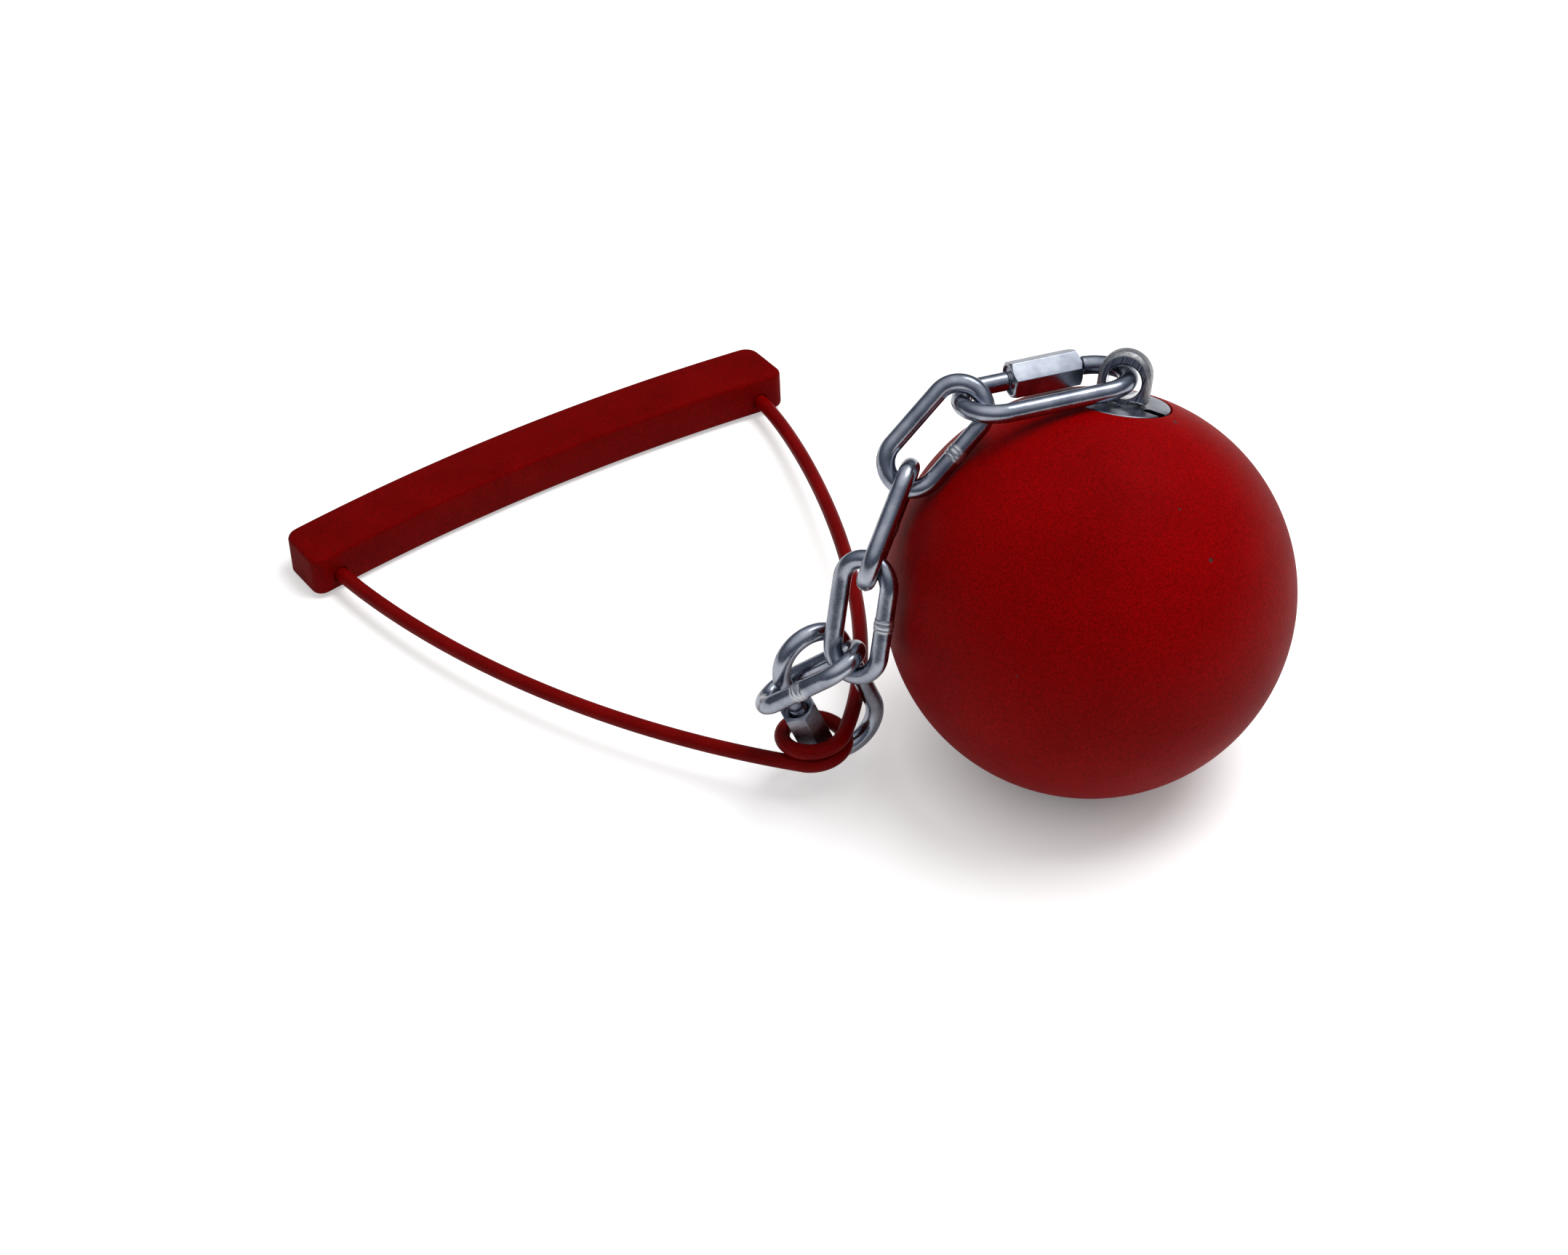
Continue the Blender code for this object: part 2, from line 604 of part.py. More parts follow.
def build_handle(handle):
    body = wire("handle_wire", handle_route(), WIRE_RADIUS, "red_coating")
    body.matrix_world = handle

    shape = bmesh.new()
    bmesh.ops.create_cube(shape, size=1,
                          matrix=Matrix.Diagonal((GRIP_LENGTH, GRIP_WIDTH, GRIP_THICKNESS, 1)))
    for cut in range(1, GRIP_CUTS + 1):
        spot = GRIP_LENGTH * (cut / (GRIP_CUTS + 1) - 0.5)
        bmesh.ops.bisect_plane(shape, geom=shape.verts[:] + shape.edges[:] + shape.faces[:],
                               plane_co=(spot, 0, 0), plane_no=(1, 0, 0))
    for corner in shape.verts:
        share = corner.co.x / (GRIP_LENGTH / 2)
        corner.co.y -= GRIP_BOW * share * share
    grip = add_part("handle_grip", mesh_from("handle_grip", shape), "red_plastic",
                    handle @ Matrix.Translation(grip_centre()))
    bevel(grip, GRIP_EDGE_RADIUS, segments=2, angle=math.radians(40))
    for side, name in ((1, "right_socket_cutter"), (-1, "left_socket_cutter")):
        start, heading = leg_start(side)
        deep = GRIP_CLEAR_OF_LEG_START + WIRE_SOCKET_DEPTH + SEAT_GAP
        mesh = cylinder(name, WIRE_RADIUS + SEAT_GAP, -deep, 0, segments=16)
        place = handle @ frame(start, Vector((0, 0, 1)), heading)
        boolean(grip, add_cutter(name, mesh, place))


def grip_centre():
    """Middle of the bowed bar, which stands higher above the wire than below it."""
    wire_share = WIRE_SPREAD / GRIP_LENGTH
    inner_edge = HANDLE_REACH + GRIP_CLEAR_OF_LEG_START + GRIP_BOW * wire_share ** 2
    return Vector((HANDLE_SIDE_SHIFT, inner_edge + GRIP_WIDTH / 2,
                   GRIP_THICKNESS / 2 - WIRE_ABOVE_GRIP_BASE))


def handle_frame(lower_quick):
    """Handle plane: its coil sits on the lower quick link, its grip on the floor."""
    leg = lower_quick.matrix @ lower_quick.leg(COIL_HEIGHT_ON_LEG)[0]
    reach = grip_centre().y + GRIP_WIDTH / 2 - GRIP_EDGE_RADIUS
    tilt = (math.asin(leg.z / math.hypot(reach, WIRE_ABOVE_GRIP_BASE))
            - math.atan2(WIRE_ABOVE_GRIP_BASE, reach))
    heading = HANDLE_HEADING.normalized()
    right = heading.cross(Vector((0, 0, 1)))
    to_grip = heading * math.cos(tilt) - Vector((0, 0, math.sin(tilt)))
    place = frame(Vector(), right, right.cross(to_grip))
    play = COIL_SIDE.normalized() * (COIL_PLAY - 2 * SEAT_GAP)
    return Matrix.Translation(leg - direction(place, play)) @ place


# Pivots: an empty on each joint's axis, its Z along the axis
def add_pivot(name, spot, axis, parent=None):
    pivot = bpy.data.objects.new(name, None)
    pivot.empty_display_size = 0.01
    parts.objects.link(pivot)
    axes = Vector((0, 0, 1)).rotation_difference(axis).to_matrix().to_4x4()
    pivot.matrix_world = Matrix.Translation(spot) @ axes
    bpy.context.view_layer.update()
    if parent:
        attach(pivot, parent)
    return pivot


def attach(child, parent):
    world = child.matrix_world.copy()
    child.parent = parent
    child.matrix_parent_inverse = parent.matrix_world.inverted()
    child.matrix_world = world


def ring_pivot(ring, bearing):
    point, tangent, _ = bearing
    return ring.matrix @ point, direction(ring.matrix, tangent)


def shade(part):
    if part.type == "MESH" and part.data.polygons:
        part.data.shade_smooth()
        part.data.set_sharp_from_angle(angle=math.radians(35))


def curve_to_mesh(name):
    """The wire as a closed mesh, in the curve's place."""
    curve = bpy.data.objects[name]
    world = curve.matrix_world.copy()
    finish = curve.data.materials[0]
    evaluated = curve.evaluated_get(bpy.context.evaluated_depsgraph_get())
    mesh = bpy.data.meshes.new_from_object(evaluated)
    shape = bmesh.new()
    shape.from_mesh(mesh)
    bmesh.ops.remove_doubles(shape, verts=shape.verts, dist=0.00001)
    bmesh.ops.recalc_face_normals(shape, faces=shape.faces)
    shape.to_mesh(mesh)
    shape.free()
    bpy.data.objects.remove(curve, do_unlink=True)
    part = bpy.data.objects.new(name, mesh)
    parts.objects.link(part)
    mesh.materials.clear()
    mesh.materials.append(finish)
    part.matrix_world = world
    return part


clear_scene()
parts = new_collection("throwing_weight")
cutters = new_collection("cutters")

BALL_CENTRE = Vector((0, 0, BALL_RADIUS))
swivel_z = SWIVEL_DIRECTION.normalized()
eye_face = EYE_FACE_DIRECTION - swivel_z * EYE_FACE_DIRECTION.dot(swivel_z)
swivel_frame = frame(BALL_CENTRE, eye_face.cross(swivel_z), swivel_z)

build_ball(swivel_frame)
build_bearing(swivel_frame)
build_eye(swivel_frame)

# The rings from the eye down to the handle
upper_quick = Ring(QUICK_LENGTH, QUICK_WIDTH, UPPER_QUICK_ATTITUDE)
eye_centre = swivel_frame @ Vector((0, 0, CAP_TOP + EYE_HOLE_HEIGHT))
eye_bearing = upper_quick.crown(1, EYE_BEARING_ANGLE)
upper_attitude = upper_quick.attitude
pull = EYE_BEARING_SIDE.normalized() * (EYE_HOLE_RADIUS - QUICK_WIRE_RADIUS - EYE_BEARING_PLAY)
upper_quick.matrix = Matrix.Translation(
    eye_centre + direction(upper_attitude, pull - eye_bearing[0])) @ upper_attitude

chain = []
pivots = [("upper_quick_pivot", (eye_centre, direction(swivel_frame, (0, -1, 0))))]
above = upper_quick
for number, attitude in enumerate(CHAIN_ATTITUDES):
    link = Ring(LINK_LENGTH, LINK_WIDTH, attitude)
    upper_angle, own_angle = CHAIN_BEARING_ANGLES[number]
    carrier = above.crown(-1, upper_angle)
    distance = WIRE_BEARING_DISTANCE if number else QUICK_BEARING_DISTANCE
    own = link.crown(1, own_angle)
    link.hang(own, above, carrier, distance)
    hinge = (link, own) if number + 1 in OWN_WIRE_HINGES else (above, carrier)
    pivots.append(("link_%d_pivot" % (number + 1), ring_pivot(*hinge)))
    chain.append(link)
    above = link

lower_quick = Ring(QUICK_LENGTH, QUICK_WIDTH, LOWER_QUICK_ATTITUDE)
carrier = above.crown(-1, LAST_LINK_BEARING_ANGLE)
seat_on_leg = lower_quick.leg(LOWER_SLEEVE_LENGTH / 2 - LOWER_SLEEVE_SHIFT + LAST_LINK_ABOVE_SLEEVE)
lower_quick.hang(seat_on_leg, above, carrier, QUICK_BEARING_DISTANCE)
pivots.append(("lower_quick_pivot", ring_pivot(above, carrier)))
handle_place = handle_frame(lower_quick)
pivots.append(("handle_pivot", ring_pivot(lower_quick, lower_quick.leg(COIL_HEIGHT_ON_LEG))))

build_quick_link("upper", upper_quick, UPPER_SLEEVE_LENGTH, UPPER_SLEEVE_SHIFT, UPPER_SLEEVE_TURN)
for number, link in enumerate(chain):
    piece = wire("chain_link_%d" % (number + 1), link.outline(), LINK_WIRE_RADIUS,
                 "zinc_plate", closed=True)
    piece.matrix_world = link.matrix
build_quick_link("lower", lower_quick, LOWER_SLEEVE_LENGTH, -LOWER_SLEEVE_SHIFT, LOWER_SLEEVE_TURN)
build_handle(handle_place)

bpy.context.view_layer.update()
wires = [thing.name for thing in parts.objects if thing.type == "CURVE"]
for name in wires:
    curve_to_mesh(name)
for thing in parts.objects:
    shade(thing)

# Each moving body hangs on its pivot
nodes = parts.objects
swivel_pivot = add_pivot("swivel_pivot", BALL_CENTRE, swivel_z)
cage_pivot = add_pivot("cage_pivot", BALL_CENTRE, swivel_z)
for name in ("swivel_eye", "lower_race", "thrust_washer", "lock_nut", "split_pin"):
    attach(nodes[name], swivel_pivot)
attach(nodes["ball_cage"], cage_pivot)
for number in range(1, BEARING_BALL_COUNT + 1):
    attach(nodes["bearing_ball_%02d" % number], cage_pivot)
carried = (
    ("upper_quick_link",), ("chain_link_1",), ("chain_link_2",), ("chain_link_3",),
    ("chain_link_4",), ("lower_quick_link",), ("handle_wire", "handle_grip"),
)
parent = swivel_pivot
for (name, (spot, axis)), names in zip(pivots, carried):
    parent = add_pivot(name, spot, axis, parent)
    for node in names:
        attach(nodes[node], parent)
sleeves = (("upper", upper_quick, UPPER_SLEEVE_SHIFT), ("lower", lower_quick, -LOWER_SLEEVE_SHIFT))
for name, ring, shift in sleeves:
    spot, axis = ring_pivot(ring, ring.leg(shift))
    sleeve_pivot = add_pivot(name + "_sleeve_pivot", spot, axis, nodes[name + "_quick_link"])
    attach(nodes[name + "_link_sleeve"], sleeve_pivot)

# The origin is under the middle of the whole weight, on the floor
bpy.context.view_layer.update()
depsgraph = bpy.context.evaluated_depsgraph_get()
corners = []
for thing in nodes:
    if thing.type == "MESH":
        solid = thing.evaluated_get(depsgraph)
        corners += [solid.matrix_world @ corner.co for corner in solid.data.vertices]
low = Vector([min(corner[axis] for corner in corners) for axis in range(3)])
high = Vector([max(corner[axis] for corner in corners) for axis in range(3)])
foot = Vector(((low.x + high.x) / 2, (low.y + high.y) / 2, low.z))
for thing in bpy.data.objects:
    if thing.parent is None:
        thing.location -= foot
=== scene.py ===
# Throwing weight: red iron ball, swivel eye, short chain and wire-triangle grip.
# Sizes are in millimetres in each dictionary; meshes end up in metres, in the CAD's frame.
import json
import math

import bmesh
import bpy
from mathutils import Matrix, Vector


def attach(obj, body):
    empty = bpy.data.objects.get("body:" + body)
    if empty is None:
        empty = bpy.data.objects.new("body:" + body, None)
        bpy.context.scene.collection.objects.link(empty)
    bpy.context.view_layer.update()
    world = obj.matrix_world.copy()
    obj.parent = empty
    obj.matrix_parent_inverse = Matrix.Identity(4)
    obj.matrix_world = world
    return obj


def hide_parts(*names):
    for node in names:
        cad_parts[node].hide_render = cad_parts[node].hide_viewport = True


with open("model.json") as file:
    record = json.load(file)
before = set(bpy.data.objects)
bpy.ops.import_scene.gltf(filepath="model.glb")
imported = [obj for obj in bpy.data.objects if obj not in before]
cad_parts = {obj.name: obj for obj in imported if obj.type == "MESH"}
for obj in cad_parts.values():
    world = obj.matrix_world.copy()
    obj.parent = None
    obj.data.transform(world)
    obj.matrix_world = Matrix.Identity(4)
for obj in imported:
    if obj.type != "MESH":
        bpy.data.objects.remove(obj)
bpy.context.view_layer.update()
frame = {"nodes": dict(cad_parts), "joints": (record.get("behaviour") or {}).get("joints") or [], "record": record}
joints = {joint["name"]: joint for joint in frame["joints"]}
mounts = {mount["name"]: mount for mount in frame["record"]["mounts"]}
print("frame loaded:", len(frame["nodes"]), "nodes")

# The view, as the photograph was taken. Place and clip are in metres, centre and focalPixels
# in pixels of the photograph's 2156 x 1725 frame
view = {"place": (0.004736, -0.718836, 0.6247), "tilt": 48.7, "lens": 75.14, "sensor": 36,
        "clip": (0.05, 20), "centre": (1078, 862.5), "focalPixels": 4500}


def makeCamera():
    data = bpy.data.cameras.new("photoCamera")
    data.lens = view["lens"]
    data.sensor_width = view["sensor"]
    data.clip_start, data.clip_end = view["clip"]
    camera = bpy.data.objects.new("photoCamera", data)
    camera.location = view["place"]
    camera.rotation_euler = (math.radians(view["tilt"]), 0, 0)
    bpy.context.scene.collection.objects.link(camera)
    bpy.context.scene.camera = camera


def sightLine(across, down):  # from the camera through a pixel of the photograph
    local = Vector(((across - view["centre"][0]) / view["focalPixels"],
                    (view["centre"][1] - down) / view["focalPixels"], -1))
    return Matrix.Rotation(math.radians(view["tilt"]), 3, "X") @ local.normalized()


makeCamera()


# Colours and nodes
def linearColour(hexText):
    channels = [int(hexText[start:start + 2], 16) / 255 for start in (1, 3, 5)]
    return [c / 12.92 if c <= 0.04045 else ((c + 0.055) / 1.055) ** 2.4 for c in channels] + [1]


def fillSockets(tree, node, inputs):  # by name, or in the sockets' own order
    for name, value in inputs.items() if isinstance(inputs, dict) else enumerate(inputs):
        if isinstance(value, bpy.types.Node):
            value = value.outputs[0]
        if isinstance(value, bpy.types.NodeSocket):
            tree.links.new(value, node.inputs[name])
        else:
            node.inputs[name].default_value = value


def addNode(tree, kind, inputs=(), **settings):
    made = tree.nodes.new(kind)
    for name, value in settings.items():
        setattr(made, name, value)
    fillSockets(tree, made, inputs)
    return made


def startMaterial(name):
    material = bpy.data.materials.new(name)
    material.use_nodes = True
    return material, material.node_tree, material.node_tree.nodes["Principled BSDF"]


# A noise mostly stays within these values, so patterns are stretched from them. Real grit,
# grain and pits are 0.05 to 0.2 mm wide, finer than a pixel: all are drawn coarser, to show
noiseSpan = (0.3, 0.7)
fleckSpan = (0.35, 0.68)

# Red plastics: the moulded grip has a fine spark-eroded grain, the dipped wire is smoother
gripFinish = {"name": "mouldedPlastic", "colour": "#700000", "dark": "#630000", "cloud": 14,
              "grain": 0.5, "depth": 0.08, "roughness": (0.65, 0.56), "specular": 0.04,
              "fleck": (0.72, 1.34)}
dipFinish = {"name": "dippedCoating", "colour": "#780202", "dark": "#660101", "cloud": 14,
             "grain": 0.5, "depth": 0.04, "roughness": (0.47, 0.38), "specular": 0.06,
             "fleck": (0.8, 1.25)}


def redPlastic(finish):
    material, tree, shader = startMaterial(finish["name"])
    place = addNode(tree, "ShaderNodeTexCoord").outputs["Object"]
    fine = addNode(tree, "ShaderNodeTexNoise",
                   {"Vector": place, "Scale": 1000 / finish["grain"], "Roughness": 0.6})
    broad = addNode(tree, "ShaderNodeTexNoise",
                    {"Vector": place, "Scale": 1000 / finish["cloud"], "Detail": 3})
    share = addNode(tree, "ShaderNodeMapRange", (broad, *noiseSpan, 0, 1))
    tones = {6: linearColour(finish["dark"]), 7: linearColour(finish["colour"])}
    mixed = addNode(tree, "ShaderNodeMix", {0: share, **tones}, data_type="RGBA").outputs[2]
    fleck = addNode(tree, "ShaderNodeMapRange", (fine, *fleckSpan, *finish["fleck"]))
    fillSockets(tree, shader, {
        "Base Color": addNode(tree, "ShaderNodeVectorMath", {0: mixed, "Scale": fleck},
                              operation="SCALE"),
        "Roughness": addNode(tree, "ShaderNodeMapRange",
                             (broad, *noiseSpan, *finish["roughness"])),
        "Specular IOR Level": finish["specular"], "IOR": 1.5,
        "Normal": addNode(tree, "ShaderNodeBump", {"Height": fine, "Strength": 0.6,
                                                   "Distance": finish["depth"] / 1000})})
    return material


# Bright zinc plate on drawn wire and pressed parts: cool silver, slightly rippled, dull at welds
zinc = {"bright": "#b2b7c1", "dull": "#828896", "weld": "#b9bcc2", "cloud": 7,
        "cloudSpan": (0.32, 0.68), "ripple": 2.2, "pit": 0.35, "pitShare": 0.2,
        "roughSpread": (-0.05, 0.09), "weldRoughness": 0.14}


def zincMaterial(name, roughness, depth):
    material, tree, shader = startMaterial(name)
    place = addNode(tree, "ShaderNodeTexCoord").outputs["Object"]
    cloud = addNode(tree, "ShaderNodeTexNoise",
                    {"Vector": place, "Scale": 1000 / zinc["cloud"], "Detail": 3})
    ripple = addNode(tree, "ShaderNodeTexNoise",
                     {"Vector": place, "Scale": 1000 / zinc["ripple"], "Detail": 1})
    pit = addNode(tree, "ShaderNodeTexNoise",
                  {"Vector": place, "Scale": 1000 / zinc["pit"], "Roughness": 0.7})
    weld = addNode(tree, "ShaderNodeAttribute", attribute_name="weld").outputs["Fac"]
    share = addNode(tree, "ShaderNodeMapRange", (cloud, *zinc["cloudSpan"], 0, 1))
    tones = {6: linearColour(zinc["dull"]), 7: linearColour(zinc["bright"])}
    plated = addNode(tree, "ShaderNodeMix", {0: share, **tones}, data_type="RGBA").outputs[2]
    tones = {6: plated, 7: linearColour(zinc["weld"])}
    rough = addNode(tree, "ShaderNodeMapRange",
                    (pit, *noiseSpan, *(roughness + more for more in zinc["roughSpread"])))
    height = addNode(tree, "ShaderNodeMath", (pit, zinc["pitShare"], ripple),
                     operation="MULTIPLY_ADD")
    fillSockets(tree, shader, {
        "Metallic": 1,
        "Base Color": addNode(tree, "ShaderNodeMix", {0: weld, **tones},
                              data_type="RGBA").outputs[2],
        "Roughness": addNode(tree, "ShaderNodeMath", (weld, zinc["weldRoughness"], rough),
                             operation="MULTIPLY_ADD"),
        "Normal": addNode(tree, "ShaderNodeBump",
                          {"Height": height, "Strength": 0.7, "Distance": depth / 1000})})
    return material


# Milled steel: cutter lines run one way across a face; their light and dark bands are painted sheen and painted
# reflection, lighter on the crests
def milledMaterial(name, along, pitch, dark, light, roughness, depth):
    material, tree, shader = startMaterial(name)
    place = addNode(tree, "ShaderNodeTexCoord").outputs["Object"]
    across = addNode(tree, "ShaderNodeVectorMath", (place, along), operation="DOT_PRODUCT")
    lines = addNode(tree, "ShaderNodeTexNoise",
                    {"W": across.outputs["Value"], "Scale": 1000 / pitch, "Detail": 3,
                     "Roughness": 0.65}, noise_dimensions="1D")
    # the lines' light and dark tones are painted sheen and reflection on real cutter lines
    share = addNode(tree, "ShaderNodeMapRange", (lines, 0.35, 0.65, 0, 1))
    tones = {6: linearColour(dark), 7: linearColour(light)}
    fillSockets(tree, shader, {
        "Metallic": 1,
        "Base Color": addNode(tree, "ShaderNodeMix", {0: share, **tones},
                              data_type="RGBA").outputs[2],
        "Roughness": addNode(tree, "ShaderNodeMapRange",
                             (lines, *noiseSpan, roughness + 0.1, roughness)),
        "Normal": addNode(tree, "ShaderNodeBump",
                          {"Height": lines, "Strength": 0.8, "Distance": depth / 1000})})
    return material


# Forged, turned, ground or cast metal: matt and uneven when forged or cast, bright when ground
def speckledMetal(name, light, dark, roughness, size, depth):
    material, tree, shader = startMaterial(name)
    place = addNode(tree, "ShaderNodeTexCoord").outputs["Object"]
    speck = addNode(tree, "ShaderNodeTexNoise",
                    {"Vector": place, "Scale": 1000 / size, "Detail": 3, "Roughness": 0.6})
    tones = {6: linearColour(dark), 7: linearColour(light)}
    fillSockets(tree, shader, {
        "Metallic": 1,
        "Base Color": addNode(tree, "ShaderNodeMix", {0: speck, **tones},
                              data_type="RGBA").outputs[2],
        "Roughness": addNode(tree, "ShaderNodeMapRange",
                             (speck, *noiseSpan, roughness + 0.08, roughness - 0.05)),
        "Normal": addNode(tree, "ShaderNodeBump",
                          {"Height": speck, "Strength": 0.5, "Distance": depth / 1000})})
    return material


# Mesh helpers. A place is a matrix from a piece's own millimetres to the frame's metres
def filleted(points, steps=4):  # (x, y, fillet) corners with their fillets drawn
    line = []
    for index, (x, y, fillet) in enumerate(points):
        corner = Vector((x, y))
        if not fillet:
            line.append(corner)
            continue
        before = Vector(points[index - 1][:2])
        after = Vector(points[(index + 1) % len(points)][:2])
        first = corner + (before - corner).normalized() * fillet
        last = corner + (after - corner).normalized() * fillet
        for step in range(steps + 1):
            share = step / steps
            line.append(first * (1 - share) ** 2 + corner * 2 * share * (1 - share)
                        + last * share ** 2)
    return [(point.x, point.y) for point in line]


def turnedMesh(profile, segments, loop=False):  # revolves (radius, height) points about Z
    shape = bmesh.new()
    rings = []
    for radius, height in profile:
        turns = [math.tau * k / segments for k in range(segments)] if radius > 1e-6 else [0]
        rings.append([shape.verts.new((radius * math.cos(a), radius * math.sin(a), height))
                      for a in turns])
    following = rings[1:] + rings[:1] if loop else rings[1:]
    for upper, lower in zip(rings, following):
        for k in range(segments):
            corners = [upper[k % len(upper)], upper[(k + 1) % len(upper)],
                       lower[(k + 1) % len(lower)], lower[k % len(lower)]]
            shape.faces.new(list(dict.fromkeys(corners)))
    return settledMesh(shape)


def settledMesh(shape):
    bmesh.ops.recalc_face_normals(shape, faces=shape.faces)
    mesh = bpy.data.meshes.new("shape")
    shape.to_mesh(mesh)
    shape.free()
    return mesh


def prismMesh(outline, low, high):  # an (x, y) outline pulled up from low to high
    shape = bmesh.new()
    floor = shape.faces.new([shape.verts.new((x, y, low)) for x, y in outline])
    pulled = bmesh.ops.extrude_face_region(shape, geom=[floor])
    bmesh.ops.translate(shape, vec=(0, 0, high - low), verts=[
        item for item in pulled["geom"] if isinstance(item, bmesh.types.BMVert)])
    return settledMesh(shape)


def loose(mesh, place=None):
    thing = bpy.data.objects.new("loose", mesh)
    bpy.context.scene.collection.objects.link(thing)
    thing.matrix_world = place or Matrix()
    return thing


def worked(mesh, steps):  # ("BEVEL", width, segments, angle) or (operation, mesh, place)
    thing = loose(mesh)
    helpers = []
    for kind, *rest in steps:
        if kind == "BEVEL":
            modifier = thing.modifiers.new("edge", "BEVEL")
            modifier.width, modifier.segments, angle = rest
            modifier.limit_method = "ANGLE"
            modifier.angle_limit = math.radians(angle)
            modifier.use_clamp_overlap = True
        else:
            modifier = thing.modifiers.new("cut", "BOOLEAN")
            modifier.operation = kind
            modifier.solver = "EXACT"
            modifier.object = loose(*rest)
            helpers.append(modifier.object)
    bpy.context.view_layer.update()
    return evaluated(thing, helpers)


def evaluated(thing, helpers=()):  # the modifiers' result as a plain mesh
    graph = bpy.context.evaluated_depsgraph_get()
    mesh = bpy.data.meshes.new_from_object(thing.evaluated_get(graph),
                                           preserve_all_data_layers=True, depsgraph=graph)
    thing.modifiers.clear()
    for gone in (thing, *helpers):
        bpy.data.objects.remove(gone, do_unlink=True)
    return mesh


def paintFaces(mesh, materials, pick=lambda face: 0):  # pick gives a face's material number
    mesh.materials.clear()
    for material in materials:
        mesh.materials.append(material)
    for face in mesh.polygons:
        face.material_index = pick(face)


def setPiece(name, mesh, place, body, replaced, materials=(), angle=32):
    mesh.transform(place @ Matrix.Scale(0.001, 4))
    mesh.name = name
    if materials:  # the others were painted before
        paintFaces(mesh, materials)
    mesh.shade_smooth()
    mesh.set_sharp_from_angle(angle=math.radians(angle))
    piece = bpy.data.objects.new(name, mesh)
    bpy.context.scene.collection.objects.link(piece)
    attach(piece, body)
    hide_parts(*replaced)
    return piece


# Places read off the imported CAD: a node's middle in axes that are known for it
def axesFrom(along, normal):
    x = Vector(along).normalized()
    z = (Vector(normal) - x * x.dot(Vector(normal))).normalized()
    return Matrix((x, z.cross(x), z)).transposed()


def middleOf(node, axes):
    corners = [axes.transposed() @ vertex.co for vertex in frame["nodes"][node].data.vertices]
    low = Vector([min(corner[k] for corner in corners) for k in range(3)])
    high = Vector([max(corner[k] for corner in corners) for k in range(3)])
    return axes @ ((low + high) / 2)


def placeAt(spot, axes):
    return Matrix.Translation(spot) @ axes.to_4x4()


def ringPlace(node, along, normal):
    axes = axesFrom(along, normal)
    return placeAt(middleOf(node, axes), axes)


# Geometry Nodes: a tree starts with named inputs and ends in plain, painted geometry
def startTree(name, sockets):
    tree = bpy.data.node_groups.new(name, "GeometryNodeTree")
    for label, (kind, value) in sockets.items():
        socket = tree.interface.new_socket(label, in_out="INPUT", socket_type="NodeSocket" + kind)
        if value is not None:
            socket.default_value = value
    tree.interface.new_socket("Result", in_out="OUTPUT", socket_type="NodeSocketGeometry")
    return tree, addNode(tree, "NodeGroupInput").outputs


def endTree(tree, geometry, finish):
    whole = addNode(tree, "GeometryNodeRealizeInstances", {"Geometry": geometry})
    painted = addNode(tree, "GeometryNodeSetMaterial", {"Geometry": whole, "Material": finish})
    addNode(tree, "NodeGroupOutput", [painted])
    return tree


def drawnWireTree():  # a round wire along a path, thicker at welds and cut with a thread
    tree, given = startTree("drawnWire", {
        "Path": ("Geometry", None), "Wire Radius": ("Float", 2.5), "Sides": ("Int", 24),
        "Thread Pitch": ("Float", 0.8), "Thread Depth": ("Float", 0.35),
        "Finish": ("Material", None)})
    curve = addNode(tree, "GeometryNodeMeshToCurve", {"Mesh": given["Path"]})
    run = addNode(tree, "GeometryNodeSplineParameter").outputs["Length"]
    marked = addNode(tree, "GeometryNodeStoreNamedAttribute",
                     {"Geometry": curve, "Name": "alongWire", "Value": run})
    circle = addNode(tree, "GeometryNodeCurvePrimitiveCircle",
                     {"Resolution": given["Sides"], "Radius": 1})
    turn = addNode(tree, "GeometryNodeSplineParameter").outputs["Factor"]
    section = addNode(tree, "GeometryNodeStoreNamedAttribute",
                      {"Geometry": circle, "Name": "aroundWire", "Value": turn})
    swell, along, around, threaded = [
        addNode(tree, "GeometryNodeInputNamedAttribute", {"Name": name})
        for name in ("swell", "alongWire", "aroundWire", "threaded")]
    radius = addNode(tree, "ShaderNodeMath", (swell, given["Wire Radius"]), operation="MULTIPLY")
    tube = addNode(tree, "GeometryNodeCurveToMesh",
                   {"Curve": marked, "Profile Curve": section, "Scale": radius,
                    "Fill Caps": True})
    groove = along  # a V that winds once round the wire for each pitch along it
    for operation, value in (("DIVIDE", given["Thread Pitch"]), ("SUBTRACT", around),
                             ("FRACT", 0), ("SUBTRACT", 0.5), ("ABSOLUTE", 0),
                             ("MULTIPLY", threaded), ("MULTIPLY", given["Thread Depth"]),
                             ("MULTIPLY", -2)):
        groove = addNode(tree, "ShaderNodeMath", (groove, value), operation=operation)
    inward = addNode(tree, "ShaderNodeVectorMath",
                     {0: addNode(tree, "GeometryNodeInputNormal"), "Scale": groove},
                     operation="SCALE")
    moved = addNode(tree, "GeometryNodeSetPosition", {"Geometry": tube, "Offset": inward})
    return endTree(tree, moved, given["Finish"])


def bearingRingTree():
    tree, given = startTree("bearingRing", {
        "Base": ("Geometry", None), "Balls": ("Int", 10), "Ball Radius": ("Float", 2),
        "Pitch Radius": ("Float", 8.2), "Finish": ("Material", None)})
    circle = addNode(tree, "GeometryNodeMeshCircle",
                     {"Vertices": given["Balls"], "Radius": given["Pitch Radius"]})
    one = addNode(tree, "GeometryNodeMeshIcoSphere",
                  {"Radius": given["Ball Radius"], "Subdivisions": 4})
    placed = addNode(tree, "GeometryNodeInstanceOnPoints", {"Points": circle, "Instance": one})
    return endTree(tree, placed, given["Finish"])


def grown(tree, mesh, values):  # runs a tree on a mesh and keeps the plain result
    carrier = loose(mesh)
    modifier = carrier.modifiers.new("grow", "NODES")
    modifier.node_group = tree
    for item in tree.interface.items_tree:
        if item.in_out == "INPUT" and item.name in values:
            modifier[item.identifier] = values[item.name]
    bpy.context.view_layer.update()
    return evaluated(carrier)


